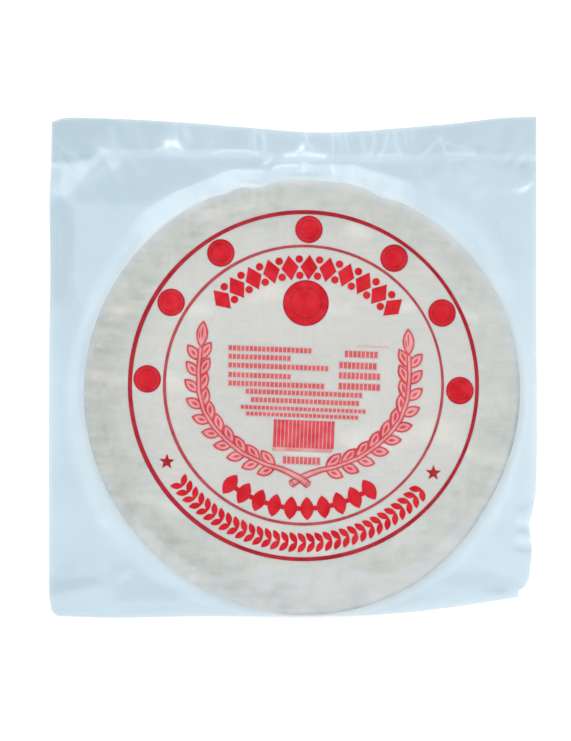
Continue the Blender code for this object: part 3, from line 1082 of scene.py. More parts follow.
# The strokes show more where the paper is darker, near the rim.
contrast = tree_math(tree, "MULTIPLY_ADD", paper_value, -0.42, 0.50)
woven = tree_math(tree, "MULTIPLY_ADD", tree_math(tree, "SUBTRACT", brushed.outputs[0], 0.5), 2.0, weave)
strokes = tree_math(tree, "MULTIPLY", tree_math(tree, "SUBTRACT", woven, 0.5), contrast)
starch = about_zero(tree, noise(tree, 34.0, 5.0), 0.30, 0.15)
speckle = about_zero(tree, noise(tree, 420.0, 3.0), 0.16, 0.08)
mottled = tree_math(tree, "ADD", strokes, tree_math(tree, "ADD", starch, speckle))
paper_colour = colour_ramp(tree, tree_math(tree, "ADD", paper_value, mottled), [
    (0.0, PAPER_DARK), (0.5, PAPER_MIDDLE), (1.0, PAPER_LIGHT),
])
patches = about_zero(tree, noise(tree, 120.0, 2.0), 2.4, 0.95)
cast = colour_ramp(tree, tree_math(tree, "ADD", patches, stored_value(tree, "coolness")), [
    (0.0, PAPER_WARM), (0.55, PAPER_GREEN), (1.0, PAPER_COOL),
])
tinted = tree_mix(tree, 1.0, paper_colour, cast, blend_type="MULTIPLY")
tree.links.new(tinted, shader.inputs["Base Color"])
add_bump(tree, shader, weave, 0.8, 0.0005)
print("rice paper:", len(tree.nodes), "nodes")

# %% [markdown]
# ## The sheets
# A sheet is a thin closed disc. The lower ones are plain, because only their edges show, from
# the side. The top one has a fine mesh that carries the relief of the mat and sags a little at
# its rim.

# %% A sheet as a closed disc
def around_middle(x, y):
    """Angle and distance inwards from the rim, for points around the middle of the stack."""
    angle = np.degrees(np.arctan2(y, x)) % 360.0
    return angle, papers_radius(angle) - np.hypot(x, y)


def sheet_mesh(name, rays, shares, top, bottom):
    """A closed disc of points (angle, share of the radius), given its heights above and below."""
    angles = np.arange(rays) * 360.0 / rays
    out = papers_radius(angles)[:, None] * np.asarray(shares)[None, :]
    turn = np.radians(angles)[:, None]
    x, y = out * np.cos(turn), out * np.sin(turn)
    above, below = (np.stack((x, y, height(x, y)), -1).reshape(-1, 3) for height in (top, bottom))
    zero = np.zeros(1)
    poles = [(0.0, 0.0, float(height(zero, zero)[0])) for height in (top, bottom)]
    rings, first_below, pole = len(shares), rays * len(shares), 2 * rays * len(shares)
    faces = []
    for ray in range(rays):
        here, there = ray * rings, (ray + 1) % rays * rings
        faces += [(pole, here, there), (pole + 1, first_below + there, first_below + here)]
        for ring in range(rings - 1):
            corners = (here + ring, here + ring + 1, there + ring + 1, there + ring)
            faces += [corners, tuple(first_below + c for c in corners[::-1])]
        last, next_last = here + rings - 1, there + rings - 1
        faces.append((last, first_below + last, first_below + next_last, next_last))
    return mesh_object(name, np.concatenate((above, below, poles)), faces)


# %% The stack under the top sheet
SHEET_COUNT, SHEET_THICKNESS = 19, 0.27
STACK_BOTTOM, TOP_SHEET_ROOM = 0.15, 0.45
PITCH = (STACK_TOP - TOP_SHEET_ROOM - STACK_BOTTOM) / SHEET_COUNT
PLAIN_RAYS, PLAIN_SHARES, LOWER_SIZE = 240, (0.5, 0.9, 0.985, 1.0), 0.994
THINNER_BY, THINNER_FROM, UNEVEN_BY = 0.06, 108.5, 0.02
STRAY, SHEET_TURN, STACK_SEED = 0.35, 0.015, 5


def plain_face(x, y):
    """Upper face of a lower sheet, which is uneven and a little thinner at its rim."""
    thinner = THINNER_BY * (np.hypot(x, y) > THINNER_FROM)
    return SHEET_THICKNESS - thinner + UNEVEN_BY * soft_noise(x, y, 12.0, 21)


lower_shares = np.array(PLAIN_SHARES) * LOWER_SIZE
plain_sheet = sheet_mesh("plain_sheet", PLAIN_RAYS, lower_shares, plain_face, lambda x, y: 0.0 * x)
paper_stack = run_tree("paper_stack", plain_sheet.data, stack_tree, {
    "Sheets": SHEET_COUNT, "Pitch": PITCH * MM, "Stray": STRAY * MM, "Turn": SHEET_TURN,
    "Seed": STACK_SEED, "Material": rice_paper,
})
bpy.data.objects.remove(plain_sheet)
print("stack:", SHEET_COUNT, "sheets,", round(PITCH, 3), "mm apart,", len(paper_stack.data.polygons), "faces")

# %% [markdown]
# ## The top sheet
# Only this sheet is seen from above, so it is worth a fine mesh. The marks of the mat could
# come from a picture of one. Here they are two sets of rows at right angles, and noise decides
# which set shows where, so they are as uneven as a real mat and need no picture.

# %% The top sheet
TOP_RAYS, TOP_RINGS, TOP_THICKNESS = 480, 100, 0.3
# How far apart the rows of the mat are, how deep they are and how high the paper cockles.
MAT_ROW, MAT_DEPTH, COCKLE = 3.6, 0.045, 0.03
# How much room the relief has under STACK_TOP, and how far the paper sags at its rim.
RELIEF_ROOM, RIM_SAG, SAG_RUN = 0.08, 0.35, 0.8
SHARP_ANGLE = 35.0


def mat_relief(x, y):
    """Strokes of the mat as relief: raised in rows one way in some cells, the other way in others."""
    rows_across = np.sin(2 * math.pi * y / MAT_ROW + 1.5 * soft_noise(x, y, 11.0, 32))
    rows_along = np.sin(2 * math.pi * x / MAT_ROW + 1.5 * soft_noise(x, y, 11.0, 33))
    pick = smooth_step(soft_noise(x, y, 7.0, 31) * 1.5 + 0.5)
    rows = rows_across * pick + rows_along * (1.0 - pick)
    return MAT_DEPTH * rows + COCKLE * soft_noise(x, y, 16.0, 34)


def top_of_papers(x, y):
    """Upper face of the top sheet, around its own middle."""
    _, inward = around_middle(x, y)
    sag = RIM_SAG * np.exp(-np.maximum(inward, 0.0) / SAG_RUN)
    return STACK_TOP - RELIEF_ROOM + mat_relief(x, y) - sag


top_shares = 1.0 - (1.0 - np.arange(1, TOP_RINGS + 1) / TOP_RINGS) ** 1.06
top_paper = sheet_mesh(
    "top_paper", TOP_RAYS, top_shares, top_of_papers, lambda x, y: top_of_papers(x, y) - TOP_THICKNESS,
)
top_paper.data.materials.append(rice_paper)
top_paper.data.shade_smooth()
top_paper.data.set_sharp_from_angle(angle=math.radians(SHARP_ANGLE))
print("top sheet:", len(top_paper.data.polygons), "faces")

# %% [markdown]
# ## Tone of the papers
# The middle is the lightest. Towards the rim the paper is greyer with painted shade, with darker
# clouds and the blocks of the mat, and it is lighter and cooler again in a band at the bottom. A
# thin dark line of painted shade runs along the lower right of the rim, where the sheets turn
# away from the light. Right at the rim the paper gets painted light in some places and painted
# shade in others.

# %% Bands at the rim of the papers
# A lighter band near the rim at the bottom, as an angle, its width and how much lighter it is.
PALER_LOW_BAND = (
    (200.0, 3.0, 0.0), (212.0, 4.5, 0.12), (222.0, 6.5, 0.20), (236.0, 7.0, 0.22), (244.0, 8.5, 0.22),
    (250.0, 14.0, 0.20), (257.0, 24.0, 0.17), (284.0, 24.0, 0.16), (291.0, 14.0, 0.17), (298.0, 9.5, 0.20),
    (310.0, 8.0, 0.20), (322.0, 6.0, 0.12), (345.0, 5.0, 0.05), (360.0, 4.0, 0.0),
)
# How much lighter the paper is painted right at its rim, as (angle, change of tone): painted
# light above zero and painted shade below it.
RIM_PAINTED_LIGHT_AND_SHADE = (
    (0.0, 0.10), (30.0, 0.10), (45.0, 0.34), (60.0, 0.30), (75.0, 0.26), (90.0, 0.36), (105.0, 0.14),
    (120.0, 0.30), (140.0, 0.10), (165.0, -0.02), (185.0, -0.06), (196.0, -0.26), (210.0, -0.02),
    (225.0, 0.00), (240.0, 0.20), (262.0, 0.12), (282.0, 0.18), (300.0, 0.24), (330.0, 0.10),
    (345.0, -0.04), (360.0, 0.10),
)
print("pressed band up to", max(row[1] for row in PALER_LOW_BAND), "mm wide")


# %% Tone for each point of a paper
def paler_band_share(angle, inward):
    """How much lighter the band at the bottom makes the paper, with a fairly crisp inner edge."""
    width, gain = columns_at(angle, PALER_LOW_BAND)
    return gain * (1.0 - smooth_step((inward - width) / 1.6 + 0.5))


def paper_tone_and_painted_light(x, y):
    """0 for the darkest paper and 1 for the lightest, around the middle of the stack, with painted
    shade towards the rim and painted light and shade right at it.
    """
    angle, inward = around_middle(x, y)
    # Painted shade: the paper greys towards its rim, most on the left.
    rim_painted_shade = 0.28 * smooth_step((38.0 - inward) / 30.0)
    near_rim = smooth_step((30.0 - inward) / 14.0)
    calm = 1.0 - 0.45 * between(angle, 135.0, 175.0, 25.0)
    clouds = calm * (soft_noise(x, y, 9.0, 41) + 0.6 * soft_noise(x, y, 4.5, 42))
    blocks = soft_noise(0.55 * x, y, 3.4, 43) * smooth_step(0.5 + 2.0 * soft_noise(x, y, 24.0, 44))
    tone = 0.84 - rim_painted_shade * (1.0 + 0.25 * np.cos(np.radians(angle - 180.0)))
    tone = tone + (0.03 + 0.10 * near_rim) * clouds + (0.01 + 0.09 * near_rim) * blocks
    # Painted shade in a ring about 9 mm in on the left and over the last few millimetres all round; the paler
    # band at the bottom is added too.
    left_painted_shade = hump(inward, 9.0, 6.0) * np.clip(np.cos(np.radians(angle - 190.0)) + 0.35, 0.0, 1.0)
    tone = tone - 0.05 * smooth_step((7.0 - inward) / 5.0) - 0.10 * left_painted_shade + paler_band_share(angle, inward)
    # A painted dark line of shade along the lower right of the rim.
    tone = tone - 0.50 * between(angle, 276.0, 360.0, 20.0) * hump(inward, 0.0, 1.3)
    # Painted light and shade right at the rim.
    [shade] = columns_at(angle, RIM_PAINTED_LIGHT_AND_SHADE)
    return tone + shade * hump(inward, 0.0, 3.2)


def paper_coolness(x, y):
    """0 for cream paper and 1 for bluish paper."""
    angle, inward = around_middle(x, y)
    low = 0.5 - 0.5 * np.sin(np.radians(angle))
    cool = 0.35 * low * smooth_step((34.0 - inward) / 16.0) + 2.8 * paler_band_share(angle, inward)
    cool = cool - 0.4 * between(angle, 160.0, 185.0, 15.0) * hump(inward, 11.0, 6.0)
    cool = cool + 0.5 * between(angle, 10.0, 140.0, 25.0) * hump(inward, 0.0, 8.5)
    return cool + 1.0 * hump(inward, 0.0, 2.6)


for sheet, low in ((paper_stack, STACK_BOTTOM), (top_paper, 0.0)):
    x, y = flat_points(sheet).T
    tones = paper_tone_and_painted_light(x, y)
    store_values(sheet, "tone", tones)
    store_values(sheet, "coolness", paper_coolness(x, y))
    for vertex in sheet.data.vertices:
        vertex.co += Vector((*STACK_CENTRE, low)) * MM
    sheet.data.update()
    print(sheet.name, "tone from", round(float(tones.min()), 2), "to", round(float(tones.max()), 2))

# %% [markdown]
# ## The print
# The ink is a thin layer on top of the film. Each printed shape is a closed plate three
# hundredths of a millimetre thick, laid on the film's own height, so it follows the ripples.
# The whole print sits a little askew, as it does on a bag that was filled by hand.

# %% Laying ink on the film
PRINT_CENTRE = np.array((5.4, -9.4))
PRINT_TURN = math.radians(-2.2)
INK_THICKNESS = 0.03
# How far the ink lies above the film, and how much higher each further layer lies.
INK_LIFT, LAYER_STEP = 0.03, 0.036


def onto_bag(points):
    """Print coordinates, which are upright and centred, to places on the bag."""
    right, up = np.moveaxis(np.asarray(points, float), -1, 0)
    c, s = math.cos(PRINT_TURN), math.sin(PRINT_TURN)
    return np.stack((c * right - s * up, s * right + c * up), -1) + PRINT_CENTRE


def lay_ink(made, layers_below=0):
    """Turns and drapes a flat printed piece, whose mesh is in print coordinates, onto the film."""
    flat = np.array([v.co[:] for v in made.data.vertices]) / MM
    placed = onto_bag(flat[:, :2])
    lift = INK_LIFT + layers_below * LAYER_STEP
    high = film_over_papers(placed[:, 0], placed[:, 1]) + lift + flat[:, 2]
    points = np.column_stack((placed, high)) * MM
    made.data.vertices.foreach_set("co", points.astype(np.float32).ravel())
    made.data.update()
    print(made.name, "has", len(made.data.polygons), "faces")
    return made


# %% [markdown]
# ## Plates and bands
# Each printed shape is a plate, which is a filled outline, or a band between two outlines. A
# curve with a bevel could do the same, but plates and bands built point by point are closed on
# all sides with few faces, and their points are known exactly.

# %% Plates and bands of ink
def add_plate(bm, loop, middle=None):
    """A thin closed plate over a loop of points that can all be seen from its middle."""
    loop = np.asarray(loop, float)
    middle = loop.mean(0) if middle is None else middle
    rims = []
    for height, order in ((INK_THICKNESS, 1), (0.0, -1)):
        hub = bm.verts.new((*(np.asarray(middle) * MM), height * MM))
        rim = [bm.verts.new((*(p * MM), height * MM)) for p in loop]
        rim.append(rim[0])
        for near, far in zip(rim[:-1], rim[1:]):
            bm.faces.new((hub, near, far)[::order])
        rims.append(rim)
    upper, lower = rims
    for index in range(len(loop)):
        bm.faces.new((upper[index], lower[index], lower[index + 1], upper[index + 1]))


def add_band(bm, inner, outer):
    """A thin closed band between two loops with the same number of points."""
    low_in, low_out, high_in, high_out = (
        [bm.verts.new((*(p * MM), height * MM)) for p in loop]
        for height in (0.0, INK_THICKNESS) for loop in (inner, outer)
    )
    count = len(low_in)
    for index in range(count):
        after = (index + 1) % count
        bm.faces.new((high_in[index], high_out[index], high_out[after], high_in[after]))
        bm.faces.new((low_in[index], low_in[after], low_out[after], low_out[index]))
        bm.faces.new((low_out[index], low_out[after], high_out[after], high_out[index]))
        bm.faces.new((low_in[after], low_in[index], high_in[index], high_in[after]))


def ink_mesh(name, bm):
    """The bmesh as a mesh, with its normals pointing outwards."""
    bmesh.ops.recalc_face_normals(bm, faces=bm.faces)
    mesh = bpy.data.meshes.new(name)
    bm.to_mesh(mesh)
    bm.free()
    return mesh


def ink_object(name, bm):
    """The bmesh as an object."""
    return add_object(name, ink_mesh(name, bm))


def print_piece(name, bm, ink, layers_below=0):
    """The bmesh as a printed piece, on the film."""
    made = ink_object(name, bm)
    made.data.materials.append(ink)
    return lay_ink(made, layers_below)


# %% [markdown]
# ## The ink
# Printing ink on film is dense and even, with tiny pinholes and a slight cloudiness where it
# was laid on thinner. The discs and the arcs are the plain red. The outer ring, the stars and
# the rings on the discs were printed heavier and look darker, and the fine inner ring looks
# duller. The lines of the ears and the bars are softer, and the dashes are rose. The ears and
# the bars stand on a pale tint and the rows on a faint one. So there are seven reds, all of one
# recipe.

# %% Seven reds
INK_ROUGHNESS = 0.42


def ink_material(name, thin, dense):
    """Red ink that varies between a thin and a dense colour."""
    material, tree, shader = start_material(name, Roughness=INK_ROUGHNESS, Specular_IOR_Level=0.12)
    colour = colour_ramp(tree, noise(tree, 160.0, 4.0), [(0.35, thin), (0.65, dense)])
    tree.links.new(colour, shader.inputs["Base Color"])
    add_bump(tree, shader, noise(tree, 1400.0), 0.2, 0.00005)
    print(name, "from", thin, "to", dense)
    return material


red_ink = ink_material("red_ink", (0.575, 0.018, 0.030), (0.485, 0.004, 0.012))
deep_red_ink = ink_material("deep_red_ink", (0.38, 0.020, 0.034), (0.30, 0.007, 0.018))
dull_red_ink = ink_material("dull_red_ink", (0.42, 0.066, 0.080), (0.35, 0.040, 0.054))
soft_red_ink = ink_material("soft_red_ink", (0.60, 0.085, 0.100), (0.52, 0.040, 0.058))
rose_ink = ink_material("rose_ink", (0.56, 0.125, 0.130), (0.49, 0.085, 0.092))
pale_red_ink = ink_material("pale_red_ink", (0.65, 0.320, 0.325), (0.59, 0.220, 0.230))
faint_red_ink = ink_material("faint_red_ink", (0.65, 0.430, 0.425), (0.62, 0.350, 0.350))

# %% [markdown]
# ## The two rings
# A heavy ring and a fine ring frame the print. A ring is a closed band between two circles, and
# its width varies a little, as it does where a rubber plate presses unevenly.

# %% Rings
# Each ring is a radius, a width, how far up its middle lies and its ink.
RINGS = {
    "outer_ring": (87.1, 2.0, 0.0, deep_red_ink),
    "inner_ring": (69.8, 1.4, 0.3, dull_red_ink),
}
RING_POINTS = 288


def circle(radius, count, middle=(0.0, 0.0)):
    """Points round a circle, anticlockwise. The radius may be one number or one for each point."""
    turn = np.arange(count) * 2.0 * math.pi / count
    return np.stack((middle[0] + radius * np.cos(turn), middle[1] + radius * np.sin(turn)), -1)


for name, (radius, width, up, ink) in RINGS.items():
    turn = np.arange(RING_POINTS) * 2.0 * math.pi / RING_POINTS
    uneven = 1.0 + 0.10 * np.cos(turn - math.radians(190.0)) + 0.05 * np.cos(5.0 * turn + radius)
    half, middle = width / 2.0 * uneven, (0.0, up)
    bm = bmesh.new()
    add_band(bm, circle(radius - half, RING_POINTS, middle), circle(radius + half, RING_POINTS, middle))
    print_piece(name, bm, ink)

# %% [markdown]
# ## Discs and stars
# Seven plain discs stand between the rings, a larger one stands under the top arc, and a small
# five-pointed star stands on each side. Two fine rings of the deeper ink lie on each disc, where
# the printing plate pressed harder.

# %% Discs
DISC_ANGLES = (179.7, 150.0, 124.1, 90.2, 56.8, 29.9, 0.4)
DISC_ORBIT, DISC_RADIUS, DISC_POINTS = 78.5, 6.8, 72
BIG_DISC, BIG_RADIUS = (-0.4, 41.5), 11.4
PRESSED_RING, PRESSED_WIDTH = 0.70, 0.55
EDGE_INSIDE, EDGE_OUTSIDE = 0.5, 0.1


def on_orbit(angle):
    """A place between the rings, at an angle in degrees."""
    turn = math.radians(angle)
    return DISC_ORBIT * math.cos(turn), DISC_ORBIT * math.sin(turn)


disc_places = [(BIG_DISC, BIG_RADIUS), *((on_orbit(angle), DISC_RADIUS) for angle in DISC_ANGLES)]
discs, pressed = bmesh.new(), bmesh.new()
for middle, radius in disc_places:
    add_plate(discs, circle(radius, DISC_POINTS, middle), middle)
    ring = PRESSED_RING * radius
    for inside, outside in ((ring - PRESSED_WIDTH, ring), (radius - EDGE_INSIDE, radius + EDGE_OUTSIDE)):
        add_band(pressed, circle(inside, DISC_POINTS, middle), circle(outside, DISC_POINTS, middle))
print_piece("print_discs", discs, red_ink)
print_piece("disc_rings", pressed, deep_red_ink, 1)

# %% [markdown]
# ## Stars
# The outline of a star has ten points, which lie by turns on a wide and on a narrow circle. A
# plate is a fan from its middle, so the notches of a star come out right by themselves.

# %% Stars
STAR_ANGLES, STAR_RADIUS, STAR_NOTCH = (-148.7, -31.7), 4.0, 0.43

point_numbers = np.arange(10)
spokes = math.pi / 2.0 + point_numbers * math.pi / 5.0
out = np.where(point_numbers % 2 == 0, STAR_RADIUS, STAR_RADIUS * STAR_NOTCH)
bm = bmesh.new()
for angle in STAR_ANGLES:
    x, y = on_orbit(angle)
    add_plate(bm, np.stack((x + out * np.cos(spokes), y + out * np.sin(spokes)), -1), (x, y))
print_piece("print_stars", bm, deep_red_ink)

# %% [markdown]
# ## Rows of small motifs, by one node tree
# Each of five arcs and several straight rows repeats one small shape. The tree takes the shape
# as its geometry and sets copies of it along an arc, each turned to face outwards. A straight
# row is a second, simpler tree. The shapes are plain ornament: lozenges, dots, grains and
# slanted strokes.

# %% Tree for an arc
arc_tree, chosen = start_tree("motifs_on_an_arc", {
    "Count": ("Int", 10), "Radius": ("Float", 0.06), "First Angle": ("Float", 0.0),
    "Last Angle": ("Float", 1.0), "Material": ("Material", None),
})
points = tree_node(arc_tree, "GeometryNodePoints", {"Count": chosen["Count"]})
turn = tree_node(arc_tree, "ShaderNodeMapRange", {
    "Value": tree_node(arc_tree, "GeometryNodeInputIndex").outputs["Index"],
    "From Max": tree_math(arc_tree, "SUBTRACT", chosen["Count"], 1.0),
    "To Min": chosen["First Angle"], "To Max": chosen["Last Angle"],
}).outputs["Result"]
cosine, sine = (tree_math(arc_tree, operation, turn) for operation in ("COSINE", "SINE"))
direction = vector_of(arc_tree, X=cosine, Y=sine)
place = vector_math(arc_tree, "SCALE", {0: direction, "Scale": chosen["Radius"]})
placed = tree_node(
    arc_tree, "GeometryNodeSetPosition", {"Geometry": points.outputs["Points"], "Position": place},
)
facing = vector_of(arc_tree, Z=tree_math(arc_tree, "SUBTRACT", turn, QUARTER_TURN))
copies = copies_on(arc_tree, placed.outputs["Geometry"], chosen["Geometry"], Rotation=facing)
finish_tree(arc_tree, chosen, copies)

# %% [markdown]
# ## Motifs for the arcs
# Each motif is drawn once around its own middle. A grain is half of a sine wave, squeezed a
# little and mirrored, which gives a belly and two points without placing them by hand. Where
# two arcs overlap, the upper one is raised by a layer, so that no two faces coincide.

# %% Shapes for the arcs
def motif_mesh(name, *loops):
    """One motif as thin closed plates, around its own middle."""
    bm = bmesh.new()
    for loop in loops:
        add_plate(bm, loop)
    return ink_mesh(name, bm)


def grain_loop(width, height, middle=(0.0, 0.0), lean=0.0):
    """A pointed grain, upright or leaning by an angle in degrees."""
    share = np.linspace(0.0, 1.0, 9)
    right = np.stack((width / 2.0 * np.sin(math.pi * share) ** 0.8, height * (share - 0.5)), -1)
    loop = np.concatenate((right, (right * (-1.0, 1.0))[-2:0:-1]))
    c, s = math.cos(math.radians(lean)), math.sin(math.radians(lean))
    return loop @ np.array(((c, s), (-s, c))) + middle


lozenge_motif = motif_mesh("lozenge_motif", [(0.0, -6.3), (4.4, 0.0), (0.0, 6.3), (-4.4, 0.0)])
pair_motif = motif_mesh("pair_motif", circle(1.9, 14, (0.0, 4.1)), circle(1.9, 14, (0.0, -4.1)))
grain_motif = motif_mesh("grain_motif", grain_loop(6.8, 11.8))
dot_motif = motif_mesh("dot_motif", circle(1.3, 12))
slant_motif = motif_mesh(
    "slant_motif", grain_loop(3.15, 6.6, (0.0, 2.35), -38.0), grain_loop(3.15, 6.6, (0.0, -2.35), 38.0),
)
# Each arc is a motif, how many, the radius, the first and last angle, and the layers below it.
ARCS = {
    "lozenge_arc": (lozenge_motif, 11, 59.5, 135.5, 43.5, 0),
    "pair_arc": (pair_motif, 10, 59.5, 130.9, 48.1, 1),
    "grain_arc": (grain_motif, 10, 61.7, -124.5, -55.5, 0),
    "dot_arc": (dot_motif, 9, 61.7, -120.67, -59.33, 1),
    "slant_arc": (slant_motif, 32, 78.8, -139.5, -40.5, 0),
}
for name, (motif, count, radius, first, last, layers) in ARCS.items():
    made = run_tree(name, motif, arc_tree, {
        "Count": count, "Radius": radius * MM, "First Angle": math.radians(first),
        "Last Angle": math.radians(last), "Material": red_ink,
    })
    lay_ink(made, layers)

# %% [markdown]
# ## Straight rows
# The small rows in the middle are made of plain dashes on pale fields, with a thin rule beside
# them, and a block of even bars on a pale plate stands below. Each row runs the second tree
# once, and the rows are joined into one piece.

# %% Tree for a straight row
row_tree, chosen = start_tree("motifs_in_a_row", {
    "Count": ("Int", 10), "Spacing": ("Float", 0.004), "Start": ("Vector", (0.0, 0.0, 0.0)),
    "Material": ("Material", None),
})
points = tree_node(row_tree, "GeometryNodeMeshLine", {
    "Count": chosen["Count"], "Start Location": chosen["Start"],
    "Offset": vector_of(row_tree, X=chosen["Spacing"]),
}, mode="OFFSET")
finish_tree(row_tree, chosen, copies_on(row_tree, points.outputs["Mesh"], chosen["Geometry"]))


# %% Dashes
def bar_loop(width, height):
    """A rectangle around its own middle."""
    w, h = width / 2.0, height / 2.0
    return np.array(((-w, -h), (w, -h), (w, h), (-w, h)))


def join_pieces(name, pieces):
    """Several objects as one, by adding their meshes together."""
    bm = bmesh.new()
    for piece in pieces:
        bm.from_mesh(piece.data)
    made = ink_object(name, bm)
    made.data.materials.append(pieces[0].data.materials[0])
    for piece in pieces:
        bpy.data.objects.remove(piece)
    return made


# Rows as (left end, height above the print's middle, length, height of a dash), in millimetres.
DASH_ROWS = (
    (-38.2, 17.6, 40.5, 2.4), (-38.1, 13.4, 31.0, 2.4), (-37.9, 9.0, 49.6, 2.4), (-37.7, 4.2, 31.0, 2.4),
    (-37.6, 0.0, 47.4, 2.4), (20.2, 16.8, 15.6, 3.1), (17.7, 11.0, 19.2, 3.1), (17.6, 5.9, 20.5, 3.1),
    (17.7, 0.5, 20.5, 3.1), (-28.8, -3.8, 58.6, 2.3), (-26.0, -7.9, 53.4, 2.3), (-31.0, -11.8, 62.6, 1.8),
    (-28.2, -15.0, 57.0, 1.8), (-8.8, -37.6, 19.2, 3.5),
)
DASH_LENGTH, DASH_GAP = 1.6, 0.5
TINT_MARGIN = 0.28
THIN_RULE, RULE_MIDDLE = (16.3, 0.5), (34.3, 21.0)

rows, fields = [], bmesh.new()
for left, high, length, tall in DASH_ROWS:
    count = max(1, round((length + DASH_GAP) / (DASH_LENGTH + DASH_GAP)))
    start = (left + DASH_LENGTH / 2.0, high, 0.0)
    rows.append(run_tree("dash_row", motif_mesh("dash", bar_loop(DASH_LENGTH, tall)), row_tree, {
        "Count": count, "Spacing": (DASH_LENGTH + DASH_GAP) * MM, "Start": [c * MM for c in start],
        "Material": rose_ink,
    }))
    whole = count * (DASH_LENGTH + DASH_GAP) - DASH_GAP
    field = bar_loop(whole + 2.0 * TINT_MARGIN, tall + 2.0 * TINT_MARGIN) + (left + whole / 2.0, high)
    add_plate(fields, field)
add_plate(fields, bar_loop(*THIN_RULE) + RULE_MIDDLE)
lay_ink(join_pieces("dash_rows", rows), 1)
print_piece("row_fields", fields, faint_red_ink)

# %% [markdown]
# ## Bars
# The bars are printed in a softer red on a pale plate, with a pale strip below. The tree for a
# straight row sets them too, and the plates are laid one layer lower.

# %% Bars
BAR_COUNT, BAR_SIZE, BAR_STEP, FIRST_BAR = 16, (1.5, 13.8), 1.93, (-13.4, -24.3)
STRIP_HEIGHT, STRIP_LEFT, STRIP_BELOW = 1.7, 0.6, 1.0

bars_wide = (BAR_COUNT - 1) * BAR_STEP + BAR_SIZE[0]
bars_middle = (FIRST_BAR[0] + (bars_wide - BAR_SIZE[0]) / 2.0, FIRST_BAR[1])
strip_middle = (bars_middle[0] - STRIP_LEFT, bars_middle[1] - BAR_SIZE[1] / 2.0 - STRIP_BELOW)
plates = bmesh.new()
add_plate(plates, bar_loop(bars_wide, BAR_SIZE[1]) + bars_middle)
add_plate(plates, bar_loop(bars_wide - STRIP_LEFT, STRIP_HEIGHT) + strip_middle)
print_piece("bar_plates", plates, pale_red_ink)
lay_ink(run_tree("bar_block", motif_mesh("bar", bar_loop(*BAR_SIZE)), row_tree, {
    "Count": BAR_COUNT, "Spacing": BAR_STEP * MM, "Start": (FIRST_BAR[0] * MM, FIRST_BAR[1] * MM, 0.0),
    "Material": soft_red_ink,
}), 1)

# %% [markdown]
# ## Two ears of rice
# A wreath of two ears curves round the middle and crosses at the bottom. An ear is a stalk with
# grains along both sides and one at its tip. Each kind of grain is drawn once, as an outline
# with a mark inside, and a node tree then sets copies of it along the path of the stalk. Each
# ear is made twice: once with pale plain grains, for the tint, and once with the outlines, for
# the lines on top of it.

# %% Grains, drawn once
# The width of a line, and how many times as long it is across the two points of a grain.
LINE, AT_POINTS = 0.80, 3.4
OUTER_GRAIN, INNER_GRAIN, TIP_GRAIN = (5.4, 10.2), (5.5, 11.4), (6.0, 14.0)
# The open lower end of a stalk, as the size of an outer and an inner lens across it.
STALK_END, STALK_HOLE = (2.0, 4.5), (0.9, 3.0)


def drawn_grain(name, width, length, marks):
    """A grain on the origin, in outline, with marks of (width, length, middle, lean)."""
    middle = (0.0, length / 2.0)
    inner = grain_loop(width - 2.0 * LINE, length - AT_POINTS * LINE, middle)
    bm = bmesh.new()
    add_band(bm, inner, grain_loop(width, length, middle))
    for mark in marks:
        add_plate(bm, grain_loop(*mark))
    return ink_object(name, bm)


def plain_grain(name, width, length):
    """A filled grain, just inside the outline of the same size."""
    bm = bmesh.new()
    add_plate(bm, grain_loop(width - LINE, length - LINE, (0.0, length / 2.0)))
    return ink_object(name, bm)


def stalk_end(name, hole=None):
    """A lens across the end of a stalk, with a hole or filled."""
    lens = grain_loop(*STALK_END, lean=90.0)
    bm = bmesh.new()
    if hole:
        add_band(bm, grain_loop(*hole, lean=90.0), lens)
    else:
        add_plate(bm, lens)
    return ink_object(name, bm)


line_grains = {
    "Outer Grain": drawn_grain("outer_line", *OUTER_GRAIN, [(1.3, 3.6, (0.0, 4.9), 0.0)]),
    "Inner Grain": drawn_grain("inner_line", *INNER_GRAIN, [
        (1.5, 4.8, (0.1, 6.4), -4.0), (0.6, 7.0, (-1.75, 5.4), 8.0),
    ]),
    "Tip Grain": drawn_grain("tip_line", *TIP_GRAIN, [
        (0.8, 6.5, (0.0, 8.2), 0.0), (0.6, 4.5, (-1.3, 6.0), 8.0),
    ]),
    "Stalk End": stalk_end("end_line", STALK_HOLE),
}
tint_grains = {
    "Outer Grain": plain_grain("outer_tint", *OUTER_GRAIN),
    "Inner Grain": plain_grain("inner_tint", *INNER_GRAIN),
    "Tip Grain": plain_grain("tip_tint", *TIP_GRAIN),
    "Stalk End": stalk_end("end_tint"),
}
print("grains and ends:", len(line_grains), "in outline and", len(tint_grains), "filled")

# %% [markdown]
# ## A tree for an ear
# The tree turns the path of a stalk into a curve, draws the stalk's lines beside it and sets
# pairs of grains along it, leaning outwards. Overlapping grains are a hair apart in height, so
# that no two faces coincide. A stalk flares towards its lower end.

# %% Stalk and grains
# How far apart overlapping grains are, in metres.
HAIR = 1.5e-6
TIP_LIFT = 16 * HAIR
STALK_POINTS = 64
# Where the first and the last pair of grains grow, as shares of the stalk's length.
FIRST_PAIR, LAST_PAIR = 0.19, 0.935
# Where the flare of a stalk ends, as a share of its length, and how much wider its end is.
FLARE_ENDS, FLARE = 0.22, 1.75


def face_along(tree, tangent):
    """A rotation that turns a grain's length along the stalk."""
    turn = tree_node(tree, "FunctionNodeAlignRotationToVector", {"Vector": tangent}, axis="Y")
    return turn.outputs["Rotation"]


